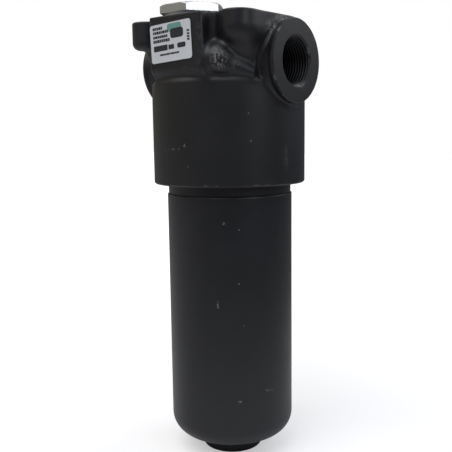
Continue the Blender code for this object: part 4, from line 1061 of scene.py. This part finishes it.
def floor_material():
    """Pale paper, painted darker far off and most towards +X as painted shade, to which the camera alone sees
    white added, most of it far off.
    """
    material, tree, shader, where = new_material("floor_paper")
    tone = node_mix(tree, node_noise(tree, where, 30.0, 3.0), (0.70, 0.70, 0.70), (0.74, 0.74, 0.74))
    flat = node_vector(tree, "MULTIPLY", where, (1.0, 1.0, 0.0))
    far = node_range(tree, node_length(tree, flat), 0.10, 0.50, smooth=True)
    left = node_range(tree, node_split(tree, where)["X"], 0.0, -0.5, smooth=True)
    # Painted shade: the paper's tone far off, darker towards +X, stands in for light falling off away from the
    # object
    painted_falloff_tone = node_mix(tree, left, (0.25, 0.25, 0.25), (0.60, 0.60, 0.60))
    added = node_range(tree, far, 0.0, 1.0, 0.45, 1.0)
    seen = tree.nodes.new("ShaderNodeLightPath").outputs["Is Camera Ray"]
    set_inputs(tree, shader, {
        "Base Color": node_mix(tree, far, tone, painted_falloff_tone), "Roughness": 0.9, "Specular IOR Level": 0.1,
        "Emission Color": (1, 1, 1, 1), "Emission Strength": times(tree, added, seen)})
    return material


FLOOR_HALF = 4.0
FLOOR_Z = -0.0004
floor_corners = [(x * FLOOR_HALF, y * FLOOR_HALF, FLOOR_Z) for x, y in ((-1, -1), (1, -1), (1, 1), (-1, 1))]
floor = mesh_object("floor", floor_corners, [(0, 1, 2, 3)], floor_material(), smooth=False)


def studio_world():
    """White to the camera, and to everything else a room that is dim below and bright above."""
    world = bpy.data.worlds.new("studio")
    world.use_nodes = True
    tree = world.node_tree
    room = tree.nodes["Background"]
    split = node_split(tree, tree.nodes.new("ShaderNodeTexCoord").outputs["Generated"])
    warm_side = node_range(tree, split["X"], -0.9, 0.2, smooth=True)
    colour = node_mix(tree, warm_side, (1.10, 1.02, 0.80), (0.88, 0.94, 1.18))
    low = node_range(tree, split["Z"], 0.0, 0.5, 0.12, 0.23, smooth=True)
    high = node_range(tree, split["Z"], 0.5, 1.0, 0.0, 0.30, smooth=True)
    side = node_range(tree, split["X"], -1.0, -0.45, 1.9, 1.0, smooth=True)
    set_inputs(tree, room, {"Color": colour, "Strength": times(tree, plus(tree, low, high), side)})
    seen = new_node(tree, "ShaderNodeBackground", {"Color": (1, 1, 1, 1)})
    camera_ray = tree.nodes.new("ShaderNodeLightPath").outputs["Is Camera Ray"]
    choose = new_node(tree, "ShaderNodeMixShader", {0: camera_ray, 1: room.outputs[0], 2: seen.outputs[0]})
    tree.links.new(choose.outputs[0], tree.nodes["World Output"].inputs["Surface"])
    return world


bpy.context.scene.world = studio_world()
area_light("key_box", (-0.05, -0.63, 1.03), (0, -0.02, 0.20), (1.2, 0.9), 8.0)
area_light("back_box", (0.45, 0.65, 0.70), (0.05, 0.05, 0.05), (0.7, 0.7), 2.5)
area_light("right_box", (0.73, -0.09, 0.46), (0, 0, 0.26), (0.34, 0.24), 0.75, (0.95, 0.98, 1.0))

camera_data = bpy.data.cameras.new("camera")
camera_data.sensor_width = 36.0
camera_data.lens = FOCAL_PX * 36.0 / PICTURE_PX
camera_data.clip_start = 0.01
camera = new_object("camera", camera_data)
right, up, forward, place = camera_axes()
pose = Matrix((right, up, -forward)).transposed().to_4x4()
pose.translation = place
camera.matrix_world = pose
bpy.context.scene.camera = camera
bpy.context.scene.view_settings.view_transform = "Standard"
